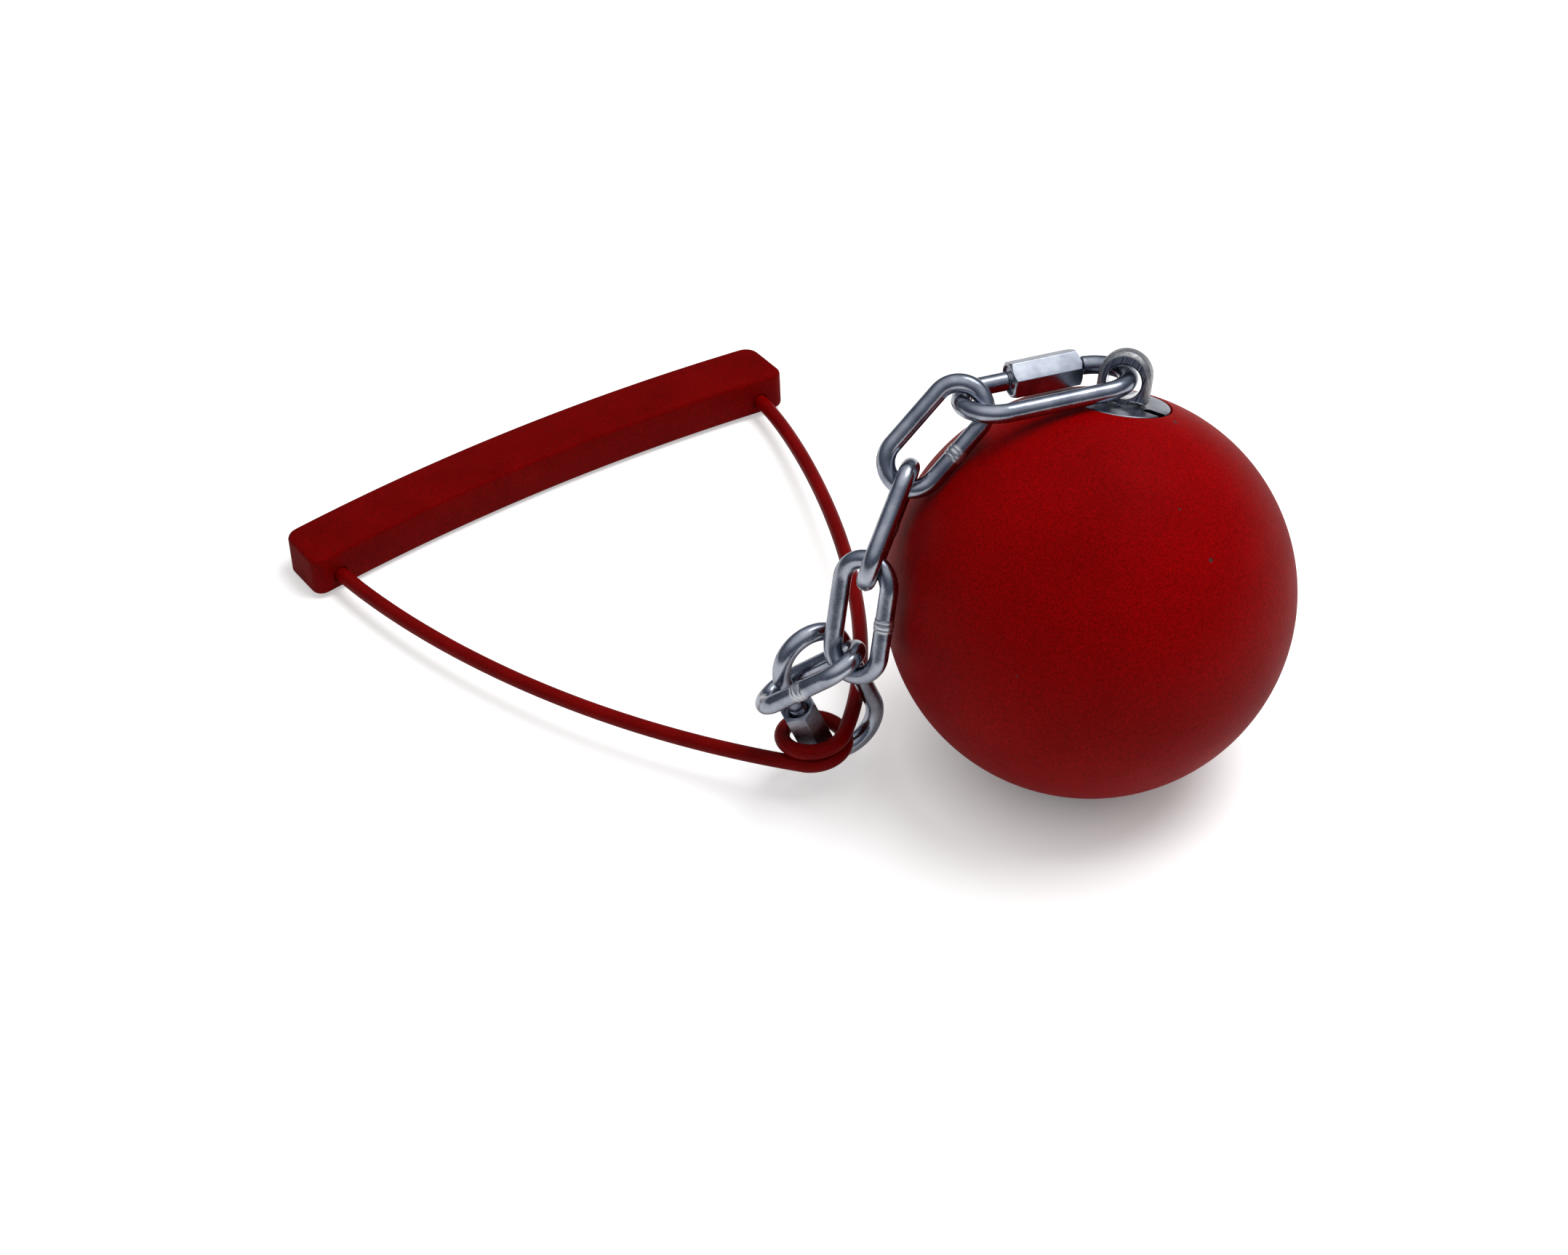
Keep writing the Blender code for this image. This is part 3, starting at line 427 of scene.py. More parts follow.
def pathMesh(points, closed, swell, threaded=None, weld=None):
    mesh = bpy.data.meshes.new("path")
    edges = [(k, k + 1) for k in range(len(points) - 1)]
    if closed:
        edges.append((len(points) - 1, 0))
    mesh.from_pydata(points, edges, [])
    for name, values in (("swell", swell), ("threaded", threaded), ("weld", weld)):
        trait = mesh.attributes.new(name, "FLOAT", "POINT")
        trait.data.foreach_set("value", values or [0] * len(points))
    return mesh


def spaced(first, last, gap):  # from first up to but not including last
    count = max(1, round(abs(last - first) / gap))
    return [first + (last - first) * k / count for k in range(count)]


def held(value):  # kept between 0 and 1
    return max(0, min(1, value))


# Ball, turned about the swivel axis with its core cavity, filling hole and swivel recess.
# The rims' numbers are shares of rimRound
ball = {"radius": 55, "recess": 13.4, "recessDepth": 27.1, "core": 28.3, "coreCover": 4,
        "coreGap": 0.3, "fillingHole": 6, "rimRound": 0.5, "holeRim": 1.2,
        "recessRim": ((0.3, 0.25), (0, 0.8)), "segments": 192, "arcSteps": 130, "coreSteps": 32}
eyeFace = (-0.248, -0.890, 0.383)
swivelAxes = axesFrom(Vector(eyeFace).cross(Vector(joints["swivel_spin"]["axis"])),
                      joints["swivel_spin"]["axis"])
swivelPlace = placeAt(Vector(joints["swivel_spin"]["pos_m"]), swivelAxes)
capTop = math.sqrt(ball["radius"] ** 2 - ball["recess"] ** 2)
recessFloor = capTop - ball["recessDepth"]
coreHeight = recessFloor - ball["coreCover"] - ball["core"] + ball["coreGap"]

# Sprayed enamel on cast iron: deep red, satin, with a fine orange peel and a few chips.
# A chip is a pixel of the photograph and a radius
enamel = {"colour": "#8a0001", "worn": "#790001", "iron": "#3a3230", "cloud": 30, "peel": 1.3,
          "grit": 0.5, "gritShare": 0.45, "fleck": (0.66, 1.4), "depth": 0.1,
          "roughness": (0.56, 0.48), "specular": 0.04, "chipEdge": 0.12,
          "chips": ((1665, 770, 0.55), (1622, 700, 0.3), (1398, 930, 0.25), (1616, 580, 0.6))}


def ballPoint(across, down):  # where a pixel's sight line meets the ball
    start = Vector(view["place"])
    ray = sightLine(across, down)
    middle = Vector(joints["swivel_spin"]["pos_m"])
    along = (middle - start).dot(ray)
    miss = (start + ray * along - middle).length
    return start + ray * (along - math.sqrt(max(ball["radius"] ** 2 / 1e6 - miss ** 2, 0)))


def enamelMaterial():
    material, tree, shader = startMaterial("sprayedEnamel")
    place = addNode(tree, "ShaderNodeTexCoord").outputs["Object"]
    cloud = addNode(tree, "ShaderNodeTexNoise",
                    {"Vector": place, "Scale": 1000 / enamel["cloud"], "Detail": 3})
    peel = addNode(tree, "ShaderNodeTexNoise",
                   {"Vector": place, "Scale": 1000 / enamel["peel"], "Detail": 1})
    grit = addNode(tree, "ShaderNodeTexNoise",
                   {"Vector": place, "Scale": 1000 / enamel["grit"], "Roughness": 0.7})
    share = addNode(tree, "ShaderNodeMapRange", (cloud, *noiseSpan, 0, 1))
    tones = {6: linearColour(enamel["worn"]), 7: linearColour(enamel["colour"])}
    mixed = addNode(tree, "ShaderNodeMix", {0: share, **tones}, data_type="RGBA").outputs[2]
    fleck = addNode(tree, "ShaderNodeMapRange", (grit, *fleckSpan, *enamel["fleck"]))
    sprayed = addNode(tree, "ShaderNodeVectorMath", {0: mixed, "Scale": fleck},
                      operation="SCALE")
    chipped = 0
    for across, down, radius in enamel["chips"]:
        away = addNode(tree, "ShaderNodeVectorMath", (place, ballPoint(across, down)),
                       operation="DISTANCE").outputs["Value"]
        spot = addNode(tree, "ShaderNodeMapRange",
                       (away, (radius - enamel["chipEdge"]) / 1000,
                        (radius + enamel["chipEdge"]) / 1000, 1, 0))
        chipped = addNode(tree, "ShaderNodeMath", (chipped, spot), operation="MAXIMUM")
    height = addNode(tree, "ShaderNodeMath", (grit, enamel["gritShare"], peel),
                     operation="MULTIPLY_ADD")
    dented = addNode(tree, "ShaderNodeMath", (height, chipped), operation="SUBTRACT")
    tones = {6: sprayed, 7: linearColour(enamel["iron"])}
    fillSockets(tree, shader, {
        "Base Color": addNode(tree, "ShaderNodeMix", {0: chipped, **tones},
                              data_type="RGBA").outputs[2],
        "Roughness": addNode(tree, "ShaderNodeMapRange",
                             (cloud, *noiseSpan, *enamel["roughness"])),
        "Specular IOR Level": enamel["specular"], "IOR": 1.5,
        "Normal": addNode(tree, "ShaderNodeBump", {"Height": dented, "Strength": 0.8,
                                                   "Distance": enamel["depth"] / 1000})})
    return material


def makeBall(material):
    hole = ball["fillingHole"]
    core = ball["core"]
    outer = ball["radius"]
    rim = ball["rimRound"]
    lowest = -math.sqrt(outer ** 2 - hole ** 2)
    stop = math.asin(hole / core)
    profile = []
    for step in range(ball["coreSteps"] + 1):
        angle = (math.pi - stop) * step / ball["coreSteps"]
        profile.append((core * math.sin(angle), coreHeight + core * math.cos(angle)))
    profile.append((hole, lowest + rim * ball["holeRim"]))
    start = math.asin((hole + rim) / outer)
    end = math.pi - math.asin((ball["recess"] + rim) / outer)
    for step in range(ball["arcSteps"] + 1):
        angle = start + (end - start) * step / ball["arcSteps"]
        profile.append((outer * math.sin(angle), -outer * math.cos(angle)))
    profile += [(ball["recess"] + rim * outward, capTop - rim * down)
                for outward, down in ball["recessRim"]]
    profile += [(ball["recess"], recessFloor), (0, recessFloor)]
    setPiece("ballShell", turnedMesh(profile, ball["segments"]), swivelPlace, "ball",
             ["ball_shell"], [material])


# Plug that closes the filling hole, with a hexagon socket
plug = {"radius": 5.7, "gap": 0.3, "edge": 0.4, "socket": 2.9, "socketDepth": 5,
        "socketRound": 0.15, "overcut": 1, "segments": 64}


def makePlug(material):
    face = -math.sqrt(ball["radius"] ** 2 - ball["fillingHole"] ** 2) + plug["gap"]
    top = coreHeight - ball["core"]
    body = filleted([(0, face, 0), (plug["radius"], face, plug["edge"]),
                     (plug["radius"], top, plug["edge"]), (0, top, 0)])
    socket = filleted([(plug["socket"] * math.sin(math.tau * k / 6),
                        plug["socket"] * math.cos(math.tau * k / 6), plug["socketRound"])
                       for k in range(6)], 2)
    cutter = prismMesh(socket, face - plug["overcut"], face + plug["socketDepth"])
    mesh = worked(turnedMesh(body, plug["segments"]), [("DIFFERENCE", cutter)])
    setPiece("fillingPlug", mesh, swivelPlace, "ball", ["filling_plug"],
             [material])


# Cap that closes the bearing, with its two spanner slots, whose floors and lower walls carry painted shade.
# The painted shade's depth span is in shares of a slot's depth, its inset in from the bore and from the outside
cap = {"radius": 12.95, "bore": 5.3, "thickness": 4, "edge": 0.35, "segments": 128,
       "slotWidth": 3, "slotDepth": 1.5, "slotLength": 5.5, "slotAngle": 154, "slotRound": 0.6,
       "overcut": (3, 2), "shadeDepth": (0.2, 1.1), "shadeInset": (1, 0.05)}


def makeCap(plate, slotShade):
    low = capTop - cap["thickness"]
    edge = cap["edge"]
    ring = filleted([(cap["bore"], low, 0), (cap["radius"], low, edge),
                     (cap["radius"], capTop, edge), (cap["bore"], capTop, edge)])
    half = cap["slotWidth"] / 2
    inner = cap["radius"] - cap["slotLength"]
    beyond, above = cap["overcut"]
    outer = cap["radius"] + beyond
    slot = filleted([(inner, -half, half * cap["slotRound"]), (outer, -half, 0),
                     (outer, half, 0), (inner, half, half * cap["slotRound"])])
    cuts = [("DIFFERENCE", prismMesh(slot, capTop - cap["slotDepth"], capTop + above),
             Matrix.Rotation(math.radians(angle), 4, "Z"))
            for angle in (cap["slotAngle"], cap["slotAngle"] + 180)]

    # faces deep in a slot take the dark metal that paints the slot's shade
    def inSlot(face):
        shallow, deep = cap["shadeDepth"]
        fromBore, fromOutside = cap["shadeInset"]
        depth = (capTop - face.center.z) / cap["slotDepth"]
        out = face.center.xy.length
        return int(shallow < depth < deep
                   and cap["bore"] + fromBore < out < cap["radius"] - fromOutside)

    mesh = worked(turnedMesh(ring, cap["segments"], True), cuts)
    paintFaces(mesh, (plate, slotShade), inSlot)
    setPiece("bearingCap", mesh, swivelPlace, "ball", ["bearing_cap"])


# Eye: a milled lug with a chamfered hole on a round shank, held below by nut and pin
eye = {"width": 14, "thickness": 6.2, "height": 14.2, "seat": 0.3, "edge": 1, "edgeRound": 0.25,
       "crownSteps": 40, "hole": 4.6, "holeHeight": 6, "holeChamfer": 0.6, "throatRound": 0.3,
       "holeSegments": 96, "shank": 5, "shankTip": 31.74, "shankRound": 0.8, "shankOverlap": 0.6,
       "shankSegments": 64, "pinHeight": 34.14, "pinHole": 1.3, "pinReach": 8, "pinSegments": 24}


def makeEye(milled, rim, bright):
    half = eye["width"] / 2
    thick = eye["thickness"] / 2
    crown = capTop + eye["height"] - half
    steps = eye["crownSteps"]
    outline = [(half, capTop + eye["seat"])]
    outline += [(half * math.cos(math.pi * k / steps), crown + half * math.sin(math.pi * k / steps))
                for k in range(steps + 1)]
    outline.append((-half, capTop + eye["seat"]))
    upright = Matrix.Rotation(math.pi / 2, 4, "X")
    lug = prismMesh(outline, -thick, thick)
    lug.transform(upright)
    lug = worked(lug, [("BEVEL", eye["edge"], 1, 60), ("BEVEL", eye["edgeRound"], 2, 30)])
    joined = capTop + eye["shankOverlap"]
    shank = turnedMesh(filleted([(0, eye["shankTip"], 0),
                                 (eye["shank"], eye["shankTip"], eye["shankRound"]),
                                 (eye["shank"], joined, 0), (0, joined, 0)]),
                       eye["shankSegments"])
    end = thick + eye["holeChamfer"]
    mouth = eye["hole"] + 2 * eye["holeChamfer"]
    throat = thick - eye["holeChamfer"]
    hole = turnedMesh(filleted([(0, end, 0), (mouth, end, 0),
                                (eye["hole"], throat, eye["throatRound"]),
                                (eye["hole"], -throat, eye["throatRound"]),
                                (mouth, -end, 0), (0, -end, 0)]), eye["holeSegments"])
    reach = eye["pinReach"]
    pinHole = turnedMesh([(0, reach), (eye["pinHole"], reach), (eye["pinHole"], -reach),
                          (0, -reach)], eye["pinSegments"])
    mesh = worked(lug, [
        ("UNION", shank),
        ("DIFFERENCE", hole, Matrix.Translation((0, 0, capTop + eye["holeHeight"])) @ upright),
        ("DIFFERENCE", pinHole, Matrix.Translation((0, 0, eye["pinHeight"]))
         @ Matrix.Rotation(math.pi / 2, 4, "Y"))])

    def eyeFinish(face):  # flat sides, then the rim, then the hole
        fromHole = math.hypot(face.center.x, face.center.z - capTop - eye["holeHeight"])
        if abs(face.normal.y) > 0.99:
            return 0
        # the hole and its chamfer take reamed steel lightened into a painted highlight
        return 2 if fromHole < mouth and face.center.z > capTop else 1

    paintFaces(mesh, (milled, rim, bright), eyeFinish)
    setPiece("swivelEye", mesh, swivelPlace, "swivel", ["swivel_eye"])


# Ring of balls in the bearing; plane is its height over the ball's middle
bearing = {"balls": 10, "radius": 2, "pitch": 8.2, "plane": 45.04}


def makeBearingBalls(tree, material):
    mesh = grown(tree, bpy.data.meshes.new("empty"),
                 {"Balls": bearing["balls"], "Ball Radius": float(bearing["radius"]),
                  "Pitch Radius": bearing["pitch"], "Finish": material})
    place = swivelPlace @ Matrix.Translation((0, 0, bearing["plane"] / 1000))
    setPiece("bearingBalls", mesh, place, "cage",
             ["bearing_ball_%02d" % k for k in range(1, bearing["balls"] + 1)], [material], 180)


# Rings: long axis X, width along Y, measured to the wire's middle. A link is butt welded in
# the middle of one leg: a bulge with a lip each side, and dull zinc that fades out
link = {"length": 32, "width": 14, "wire": 2.5, "sides": 28, "bendSteps": 44, "legStep": 1,
        "weldStep": 0.15, "weldBulge": 0.11, "weldLength": 0.8, "weldLip": 0.07, "lipAt": 1.25,
        "lipWidth": 0.3, "dullReach": 2.2, "dullFade": 0.6}
linkAttitudes = (
    ("chain_link_1", "link_1", (0.653, 0.384, 0.653), (-0.063, -0.831, 0.552)),
    ("chain_link_2", "link_2", (0.365, 0.668, 0.649), (0.930, -0.290, -0.225)),
    ("chain_link_3", "link_3", (0.127, 0.358, 0.925), (-0.503, -0.781, 0.371)),
    ("chain_link_4", "link_4", (0.722, -0.213, 0.658), (-0.578, 0.337, 0.743)),
)


def crownPoints(straight, bend, end, steps):  # half turn, from one leg to the other
    turns = [math.pi * k / steps - math.pi / 2 for k in range(steps)]
    return [Vector((end * (straight + bend * math.cos(a)), end * bend * math.sin(a), 0))
            for a in turns]


def makeLink(tree, name, node, body, along, normal, material):
    bend = link["width"] / 2
    straight = (link["length"] - link["width"]) / 2
    points = [Vector((x, -bend, 0)) for x in spaced(-straight, straight, link["weldStep"])]
    welded = len(points)
    points += crownPoints(straight, bend, 1, link["bendSteps"])
    points += [Vector((-x, bend, 0)) for x in spaced(-straight, straight, link["legStep"])]
    points += crownPoints(straight, bend, -1, link["bendSteps"])
    swell = []
    weld = []
    for number, point in enumerate(points):
        off = abs(point.x) if number < welded else math.inf
        bulge = link["weldBulge"] * math.exp(-(off / link["weldLength"]) ** 2)
        lip = link["weldLip"] * math.exp(-((off - link["lipAt"]) / link["lipWidth"]) ** 2)
        swell.append(1 + bulge + lip)
        weld.append(held((link["dullReach"] - off) / link["dullFade"]))
    mesh = grown(tree, pathMesh(points, True, swell, weld=weld),
                 {"Wire Radius": link["wire"], "Sides": link["sides"], "Finish": material})
    setPiece(name, mesh, ringPlace(node, along, normal), body, [node])


# Quick links: an open ring whose gap a hexagonal sleeve nut closes. The spigot is the thinner
# end that the nut screws over; its radius is a share of the wire's
quick = {"length": 45.8, "width": 19.2, "wire": 2.5, "sides": 28, "bendSteps": 56, "legStep": 1,
         "shoulderStep": 0.5, "threadStep": 0.1, "threadRunIn": 6, "spigot": 0.86,
         "spigotLength": 2.6, "spigotSlope": 0.2,
         "upper": {"gapStart": 12.3, "gapEnd": 5.3, "threadFrom": -6.8},
         "lower": {"gapStart": 13, "gapEnd": 6, "threadFrom": -3.6}}
nut = {"upper": 19.4, "lower": 16.6, "corner": 5.3, "cornerRoom": 0.1, "edge": 0.15,
       "chamferRadius": 4.3, "chamferLength": 0.75, "round": 0.3, "bore": 2.8, "mouth": 3.9,
       "mouthDepth": 1.5, "mouthSlope": 0.6, "overcut": 1, "segments": (96, 64)}
quickAttitudes = (
    ("upper", 1, (0.942, 0.340, -0.015), (-0.092, 0.231, 0.969)),
    ("lower", -1, (-0.334, -0.139, 0.932), (0.497, -0.867, 0.049)),
)


def makeQuickLink(tree, name, side, along, normal, material):
    bend = quick["width"] / 2
    straight = (quick["length"] - quick["width"]) / 2
    ends = quick[name]
    steps = quick["bendSteps"]
    points = [Vector((ends["gapStart"], bend, 0))]
    points += [Vector((p.x, -p.y, 0)) for p in crownPoints(straight, bend, 1, steps)]
    points += [Vector((-x, -bend, 0)) for x in spaced(-straight, straight, quick["legStep"])]
    points += [Vector((p.x, -p.y, 0)) for p in crownPoints(straight, bend, -1, steps)]
    points += [Vector((x, bend, 0))
               for x in spaced(-straight, ends["threadFrom"], quick["shoulderStep"])]
    cut = len(points)
    points += [Vector((x, bend, 0))
               for x in spaced(ends["threadFrom"], ends["gapEnd"], quick["threadStep"])]
    points.append(Vector((ends["gapEnd"], bend, 0)))
    run = 0
    swell = []
    threaded = []
    for number, point in enumerate(points):
        run += (point - points[number - 1]).length if number else 0
        thin = held((quick["spigotLength"] - run) / quick["spigotSlope"])
        swell.append(1 - (1 - quick["spigot"]) * thin)
        threaded.append(held((number - cut) / quick["threadRunIn"]))
    if side < 0:
        points = [Vector((-point.x, point.y, 0)) for point in points]
    mesh = grown(tree, pathMesh(points, False, swell, threaded=threaded),
                 {"Wire Radius": quick["wire"], "Sides": quick["sides"], "Finish": material})
    node = name + "_quick_link"
    place = ringPlace(node, along, normal)
    setPiece(name + "QuickLink", mesh, place, name + "_quick", [node])
    return place


def makeSleeveNut(name, linkPlace, material):
    axes = linkPlace.to_3x3()
    node = name + "_link_sleeve"
    half = nut[name] / 2
    place = placeAt(middleOf(node, axes), axes) @ Matrix.Rotation(math.pi / 2, 4, "Y")
    local = place.inverted()
    corner = max((local @ vertex.co for vertex in frame["nodes"][node].data.vertices),
                 key=lambda spot: math.hypot(spot.x, spot.y))
    phase = math.atan2(corner.y, corner.x)  # turns the hexagon as the CAD's stands
    hexagon = [(nut["corner"] * math.cos(phase + math.pi * k / 3),
                nut["corner"] * math.sin(phase + math.pi * k / 3)) for k in range(6)]
    around = nut["corner"] + nut["cornerRoom"]
    start = half - nut["chamferLength"]
    barrel = filleted([(0, -half, 0), (nut["chamferRadius"], -half, nut["round"]),
                       (around, -start, nut["round"]), (around, start, nut["round"]),
                       (nut["chamferRadius"], half, nut["round"]), (0, half, 0)])
    mouth = nut["mouth"]
    deep = half - nut["mouthDepth"]
    slope = deep + nut["mouthSlope"]
    past = half + nut["overcut"]
    bore = [(0, -past), (mouth, -past), (mouth, -slope), (nut["bore"], -deep),
            (nut["bore"], deep), (mouth, slope), (mouth, past), (0, past)]
    barrelSegments, boreSegments = nut["segments"]
    mesh = worked(prismMesh(hexagon, -past, past), [
        ("BEVEL", nut["edge"], 3, 40), ("INTERSECT", turnedMesh(barrel, barrelSegments)),
        ("DIFFERENCE", turnedMesh(bore, boreSegments))])
    setPiece(name + "SleeveNut", mesh, place, name + "_sleeve", [node],
             [material], 24)


# Handle: one bent wire with a two-turn coil, and the bowed grip moulded on its ends. A leg's
# three numbers are its pull at the grip, its pull at the coil and its turn round the coil
handle = {"wire": 2.15, "sides": 28, "pitch": 4.55, "coil": 8.6, "coilTurn": 540, "coilSteps": 96,
          "legSteps": 70, "reach": 141.2, "shift": 5, "spread": 147, "toeIn": 4.9,
          "left": (30.2, 71.7, 39.4), "right": (26.2, 55.6, 51.1), "clear": 2.4, "socket": 11.5,
          "heading": (-0.5621, 0.8271, 0)}
grip = {"length": 164.7, "width": 19.2, "thickness": 12.4, "bow": 6.1, "cuts": 60,
        "endCorner": 4, "endSteps": 6, "edgeRadius": 2.3, "edgeSteps": 5,
        "wireAboveBase": 4.55, "wireGap": 0.3, "socketSegments": 40}
gripMiddle = handle["reach"] + handle["clear"] + grip["width"] / 2 + grip["bow"] * (
    handle["spread"] / grip["length"]) ** 2
gripRise = grip["thickness"] / 2 - grip["wireAboveBase"]


def handlePlace():
    heading = Vector(handle["heading"]).normalized()
    axes = axesFrom(heading.cross(Vector((0, 0, 1))), mounts["hand_hold"]["axis"])
    bar = axes.transposed() @ middleOf("handle_grip", axes)
    outerEdge = max((axes.transposed() @ vertex.co).y
                    for vertex in frame["nodes"]["handle_grip"].data.vertices)
    spot = Vector((bar.x - handle["shift"] / 1000,
                   outerEdge - (gripMiddle + grip["width"] / 2) / 1000,
                   bar.z - gripRise / 1000))
    return placeAt(axes @ spot, axes)


def legStart(side):
    toe = math.radians(handle["toeIn"])
    return (Vector((side * handle["spread"] / 2 + handle["shift"], handle["reach"], 0)),
            Vector((-side * math.sin(toe), -math.cos(toe), 0)))


def legPoints(side, leg, height):  # from the grip to the coil, rising to height
    gripPull, coilPull, turn = leg
    start, heading = legStart(side)
    angle = math.radians(turn)
    around = Vector((side * math.cos(angle), -math.sin(angle), 0))
    stop = around * handle["coil"]
    arrive = stop - Vector((side * around.y, -side * around.x, 0)) * coilPull
    leave = start + heading * gripPull
    points = []
    for step in range(handle["legSteps"]):
        share = step / handle["legSteps"]
        rest = 1 - share
        point = (start * rest ** 3 + leave * 3 * rest ** 2 * share
                 + arrive * 3 * rest * share ** 2 + stop * share ** 3)
        point.z = height * share * share * (3 - 2 * share)
        points.append(point)
    return points


def makeHandleWire(tree, place, material):
    firstTurn = math.radians(handle["right"][2])
    coilTurn = math.radians(handle["coilTurn"] - handle["left"][2] - handle["right"][2])
    entry = handle["pitch"] * coilTurn / math.tau - handle["pitch"] / 2
    start, heading = legStart(1)
    points = [start - heading * (handle["clear"] + handle["socket"])]
    points += legPoints(1, handle["right"], entry)
    for step in range(handle["coilSteps"] + 1):
        wound = coilTurn * step / handle["coilSteps"]
        angle = firstTurn + wound
        points.append(Vector((math.cos(angle) * handle["coil"], -math.sin(angle) * handle["coil"],
                              entry - handle["pitch"] * wound / math.tau)))
    points += legPoints(-1, handle["left"], -handle["pitch"] / 2)[::-1]
    start, heading = legStart(-1)
    points.append(start - heading * (handle["clear"] + handle["socket"]))
    mesh = grown(tree, pathMesh(points, False, [1] * len(points)),
                 {"Wire Radius": handle["wire"], "Sides": handle["sides"], "Finish": material})
    setPiece("handleWire", mesh, place, "handle", ["handle_wire"])


def makeGrip(place, material):  # a bar with rounded ends, cut across to be bowed
    shape = bmesh.new()
    bmesh.ops.create_cube(shape, size=1, matrix=Matrix.Diagonal(
        (grip["length"], grip["width"], grip["thickness"], 1)))
    upright = [edge for edge in shape.edges
               if abs(edge.verts[0].co.z - edge.verts[1].co.z) > grip["thickness"] / 2]
    bmesh.ops.bevel(shape, geom=upright, offset=grip["endCorner"], segments=grip["endSteps"],
                    profile=0.5, affect="EDGES")
    for cut in range(1, grip["cuts"] + 1):
        spot = grip["length"] * (cut / (grip["cuts"] + 1) - 0.5)
        bmesh.ops.bisect_plane(shape, geom=shape.verts[:] + shape.edges[:] + shape.faces[:],
                               plane_co=(spot, 0, 0), plane_no=(1, 0, 0))
    for corner in shape.verts:
        corner.co.y += gripMiddle - grip["bow"] * (corner.co.x * 2 / grip["length"]) ** 2
        corner.co.x += handle["shift"]
        corner.co.z += gripRise
    steps = [("BEVEL", grip["edgeRadius"], grip["edgeSteps"], 40)]
    bore = handle["wire"] + grip["wireGap"]
    deep = handle["clear"] + handle["socket"] + grip["wireGap"]
    for side in (1, -1):
        start, heading = legStart(side)
        socket = turnedMesh([(0, 0), (bore, 0), (bore, -deep), (0, -deep)],
                            grip["socketSegments"])
        steps.append(("DIFFERENCE", socket, placeAt(start, axesFrom((0, 0, 1), heading))))
    mesh = worked(settledMesh(shape), steps)
    setPiece("handleGrip", mesh, place, "handle", ["handle_grip"], [material], 24)


# Pale floor and soft studio light, in metres, degrees and watts
studio = {
    "floor": 8, "floorDrop": 0.00005, "floorColour": "#f6f6f6",
    # The floor's glow stays low close to the ball's foot and rises away from it, which paints a shadow round the
    # ball
    "lift": (0.06, 0.44), "liftFrom": (0.017, 0.05),  # the floor's glow, off the ball's foot
    "far": (0, 0.5), "farFrom": (0.4, 1.2),  # and what is added to it far off
    "mirrorLift": 0.3,  # how much of that glow metal mirrors
    "skyFill": 0.33, "mirror": 1.15,  # light on the object, and brightness of what it mirrors
    "walls": ("#3f444e", "#767c89", "#ffffff"),  # mirrored from below, level and above
    "softbox": ((0.4, 0.3, 0.87), 18, 9, 5.6),  # direction, outer and inner angle, glow
    "aim": (0.03, 0, 0.03),
    "lamps": (("keyLamp", (0.42, 0.06, 1.12), 0.9, 11.5),  # place, size and power
              ("sideLamp", (-0.75, -0.25, 0.55), 0.5, 0.5))}
white = (1, 1, 1, 1)


def makeFloor():
    material, tree, shader = startMaterial("paleFloor")
    foot = Vector(joints["swivel_spin"]["pos_m"]) - Vector((0, 0, ball["radius"] / 1000))
    place = addNode(tree, "ShaderNodeTexCoord").outputs["Object"]
    away = addNode(tree, "ShaderNodeVectorMath", (place, foot),
                   operation="DISTANCE").outputs["Value"]
    # little glow close to the ball's foot: a painted shadow there
    near = addNode(tree, "ShaderNodeMapRange", (away, *studio["liftFrom"], *studio["lift"]))
    far = addNode(tree, "ShaderNodeMapRange", (away, *studio["farFrom"], *studio["far"]))
    pale = addNode(tree, "ShaderNodeMath", (near, far), operation="ADD")
    path = addNode(tree, "ShaderNodeLightPath").outputs
    seen = addNode(tree, "ShaderNodeMath",
                   (path["Is Glossy Ray"], studio["mirrorLift"], path["Is Camera Ray"]),
                   operation="MULTIPLY_ADD", use_clamp=True)
    seen = addNode(tree, "ShaderNodeMath", (seen, path["Is Transmission Ray"]), operation="ADD",
                   use_clamp=True)
    fillSockets(tree, shader, {
        "Base Color": linearColour(studio["floorColour"]), "Roughness": 0.9,
        "Specular IOR Level": 0, "Emission Color": white,
        "Emission Strength": addNode(tree, "ShaderNodeMath", (seen, pale), operation="MULTIPLY")})
    shape = bmesh.new()
    bmesh.ops.create_grid(shape, x_segments=1, y_segments=1, size=studio["floor"] / 2,
                          matrix=Matrix.Translation((0, 0, -studio["floorDrop"])))
    floor = loose(settledMesh(shape))
    floor.name = "paleFloor"
    floor.data.materials.append(material)


def makeLamps():
    for name, spot, size, power in studio["lamps"]:
        lamp = bpy.data.lights.new(name, "AREA")
        lamp.shape = "DISK"
        lamp.size = size
        lamp.energy = power
        thing = bpy.data.objects.new(name, lamp)
        thing.location = spot
        thing.visible_glossy = False  # metal would mirror a hard disk; the softbox is there for it
        toward = Vector(studio["aim"]) - Vector(spot)
        thing.rotation_euler = toward.to_track_quat("-Z", "Y").to_euler()
        bpy.context.scene.collection.objects.link(thing)


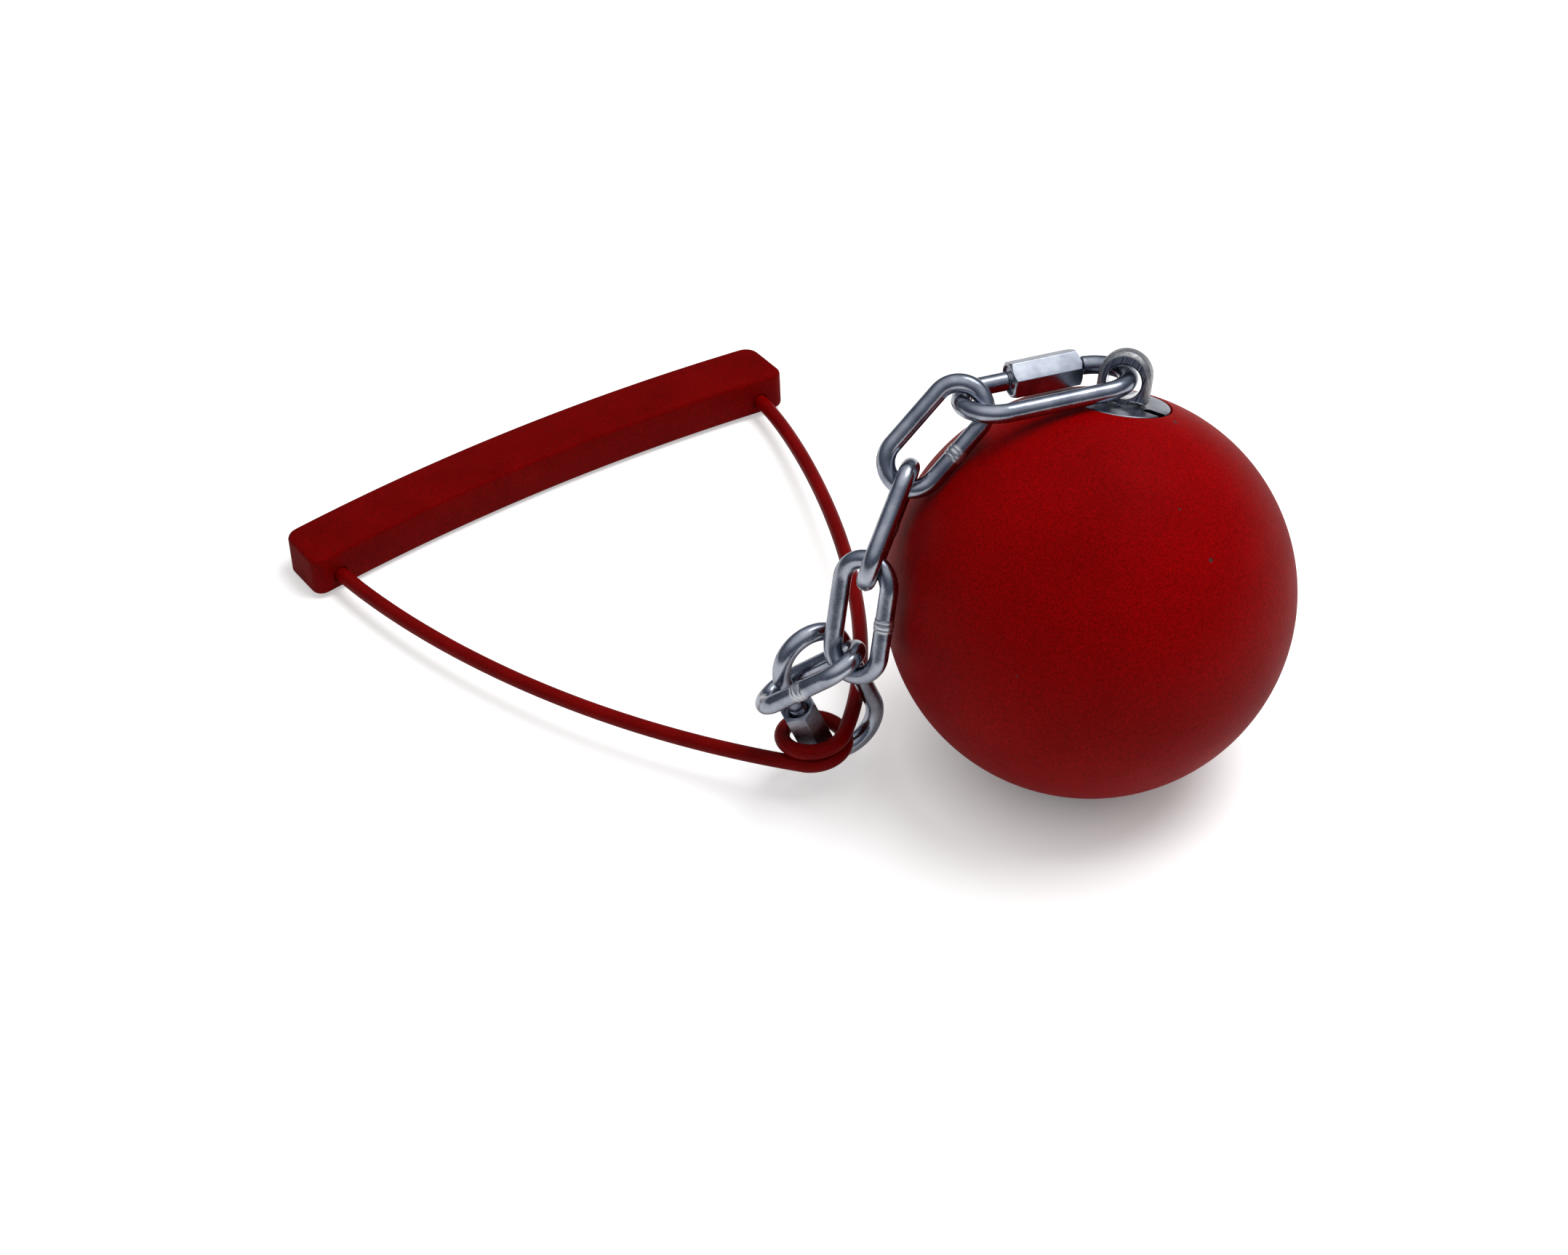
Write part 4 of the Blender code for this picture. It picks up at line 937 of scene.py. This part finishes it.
def makeWorld():  # white to the camera, an even fill, and walls with a softbox for mirrors
    world = bpy.data.worlds.new("studioWorld")
    world.use_nodes = True
    tree = world.node_tree
    tree.nodes.clear()
    path = addNode(tree, "ShaderNodeLightPath").outputs
    ray = addNode(tree, "ShaderNodeTexCoord").outputs["Generated"]
    walls = addNode(tree, "ShaderNodeValToRGB",
                    [addNode(tree, "ShaderNodeSeparateXYZ", [ray]).outputs["Z"]])
    below, level, above = (linearColour(tone) for tone in studio["walls"])
    walls.color_ramp.elements[0].color = below
    walls.color_ramp.elements[1].color = above
    walls.color_ramp.elements.new(0.5).color = level
    toward, edge, core, extra = studio["softbox"]
    aim = addNode(tree, "ShaderNodeVectorMath", (ray, Vector(toward).normalized()),
                  operation="DOT_PRODUCT").outputs["Value"]
    glow = addNode(tree, "ShaderNodeMapRange",
                   (aim, math.cos(math.radians(edge)), math.cos(math.radians(core)),
                    studio["mirror"], studio["mirror"] + extra))
    fill = addNode(tree, "ShaderNodeBackground", {"Color": white, "Strength": studio["skyFill"]})
    mirror = addNode(tree, "ShaderNodeBackground", {"Color": walls, "Strength": glow})
    plain = addNode(tree, "ShaderNodeBackground", {"Color": white, "Strength": 1})
    shiny = addNode(tree, "ShaderNodeMixShader", (path["Is Glossy Ray"], fill, mirror))
    seen = addNode(tree, "ShaderNodeMixShader", (path["Is Camera Ray"], shiny, plain))
    addNode(tree, "ShaderNodeOutputWorld", {"Surface": seen})
    bpy.context.scene.world = world
    bpy.context.scene.view_settings.view_transform = "Standard"


# Finishes end in roughness, the specks' size if there are any, and depth. The milled ones have
# the pitch of their lines after the direction across them
brightWire = zincMaterial("brightZincWire", 0.2, 0.05)
brightPressed = zincMaterial("brightZincPressed", 0.26, 0.03)
nutFaces = zincMaterial("rolledNutZinc", 0.3, 0.04)
# The eye's face: real cutter lines, with bluish dark bands as painted reflection and light bands as painted sheen
millFace = milledMaterial("milledEyeFace", swivelAxes @ Vector((0.97, 0, 0.24)), 0.5,
                          "#3d4154", "#a9aebd", 0.3, 0.05)
# The eye's hole: reamed steel, lightened past its own colour as a painted highlight
reamedBoreHighlight = milledMaterial("reamedEyeHoleHighlight", swivelAxes @ Vector((0, 1, 0)), 0.25,
                            "#b5b8be", "#e0e2e6", 0.14, 0.01)
roughRim = speckledMetal("forgedEyeRim", "#cfd0d2", "#4c4e52", 0.45, 0.8, 0.12)
# Dark metal for the cap's slots: painted shade in the recess
paintedSlotShade = speckledMetal("paintedSlotShadeFloor", "#3b3e44", "#202226", 0.4, 0.6, 0.04)
turnedSteel = speckledMetal("turnedSteel", "#a9abae", "#85878b", 0.34, 0.6, 0.02)
groundSteel = speckledMetal("groundBearingSteel", "#d4d5d8", "#c0c2c6", 0.12, 0.4, 0.004)
pressedBrass = speckledMetal("pressedBrass", "#c9a45c", "#a9833f", 0.3, 0.8, 0.01)
castLead = speckledMetal("castLead", "#6c7076", "#4e5258", 0.62, 1.5, 0.08)
print("finishes made")

wireTree = drawnWireTree()
makeBall(enamelMaterial())
makePlug(turnedSteel)
makeCap(brightPressed, paintedSlotShade)
makeEye(millFace, roughRim, reamedBoreHighlight)
makeBearingBalls(bearingRingTree(), groundSteel)
print("ball and swivel made")

for number, (node, body, along, normal) in enumerate(linkAttitudes):
    makeLink(wireTree, "chainLink%d" % (number + 1), node, body, along, normal, brightWire)
for name, side, along, normal in quickAttitudes:
    ringAt = makeQuickLink(wireTree, name, side, along, normal, brightWire)
    makeSleeveNut(name, ringAt, nutFaces)
print("chain and quick links made")

handleAt = handlePlace()
makeHandleWire(wireTree, handleAt, redPlastic(dipFinish))
makeGrip(handleAt, redPlastic(gripFinish))
print("handle made")

for node, material in (("ball_core", castLead), ("bearing_housing", turnedSteel),
                       ("upper_race", groundSteel), ("lower_race", groundSteel),
                       ("ball_cage", pressedBrass), ("thrust_washer", turnedSteel),
                       ("lock_nut", brightPressed), ("split_pin", turnedSteel)):
    for slot in frame["nodes"][node].material_slots:
        slot.material = material
print("inner pieces finished")

makeFloor()
makeLamps()
makeWorld()
print("studio made")
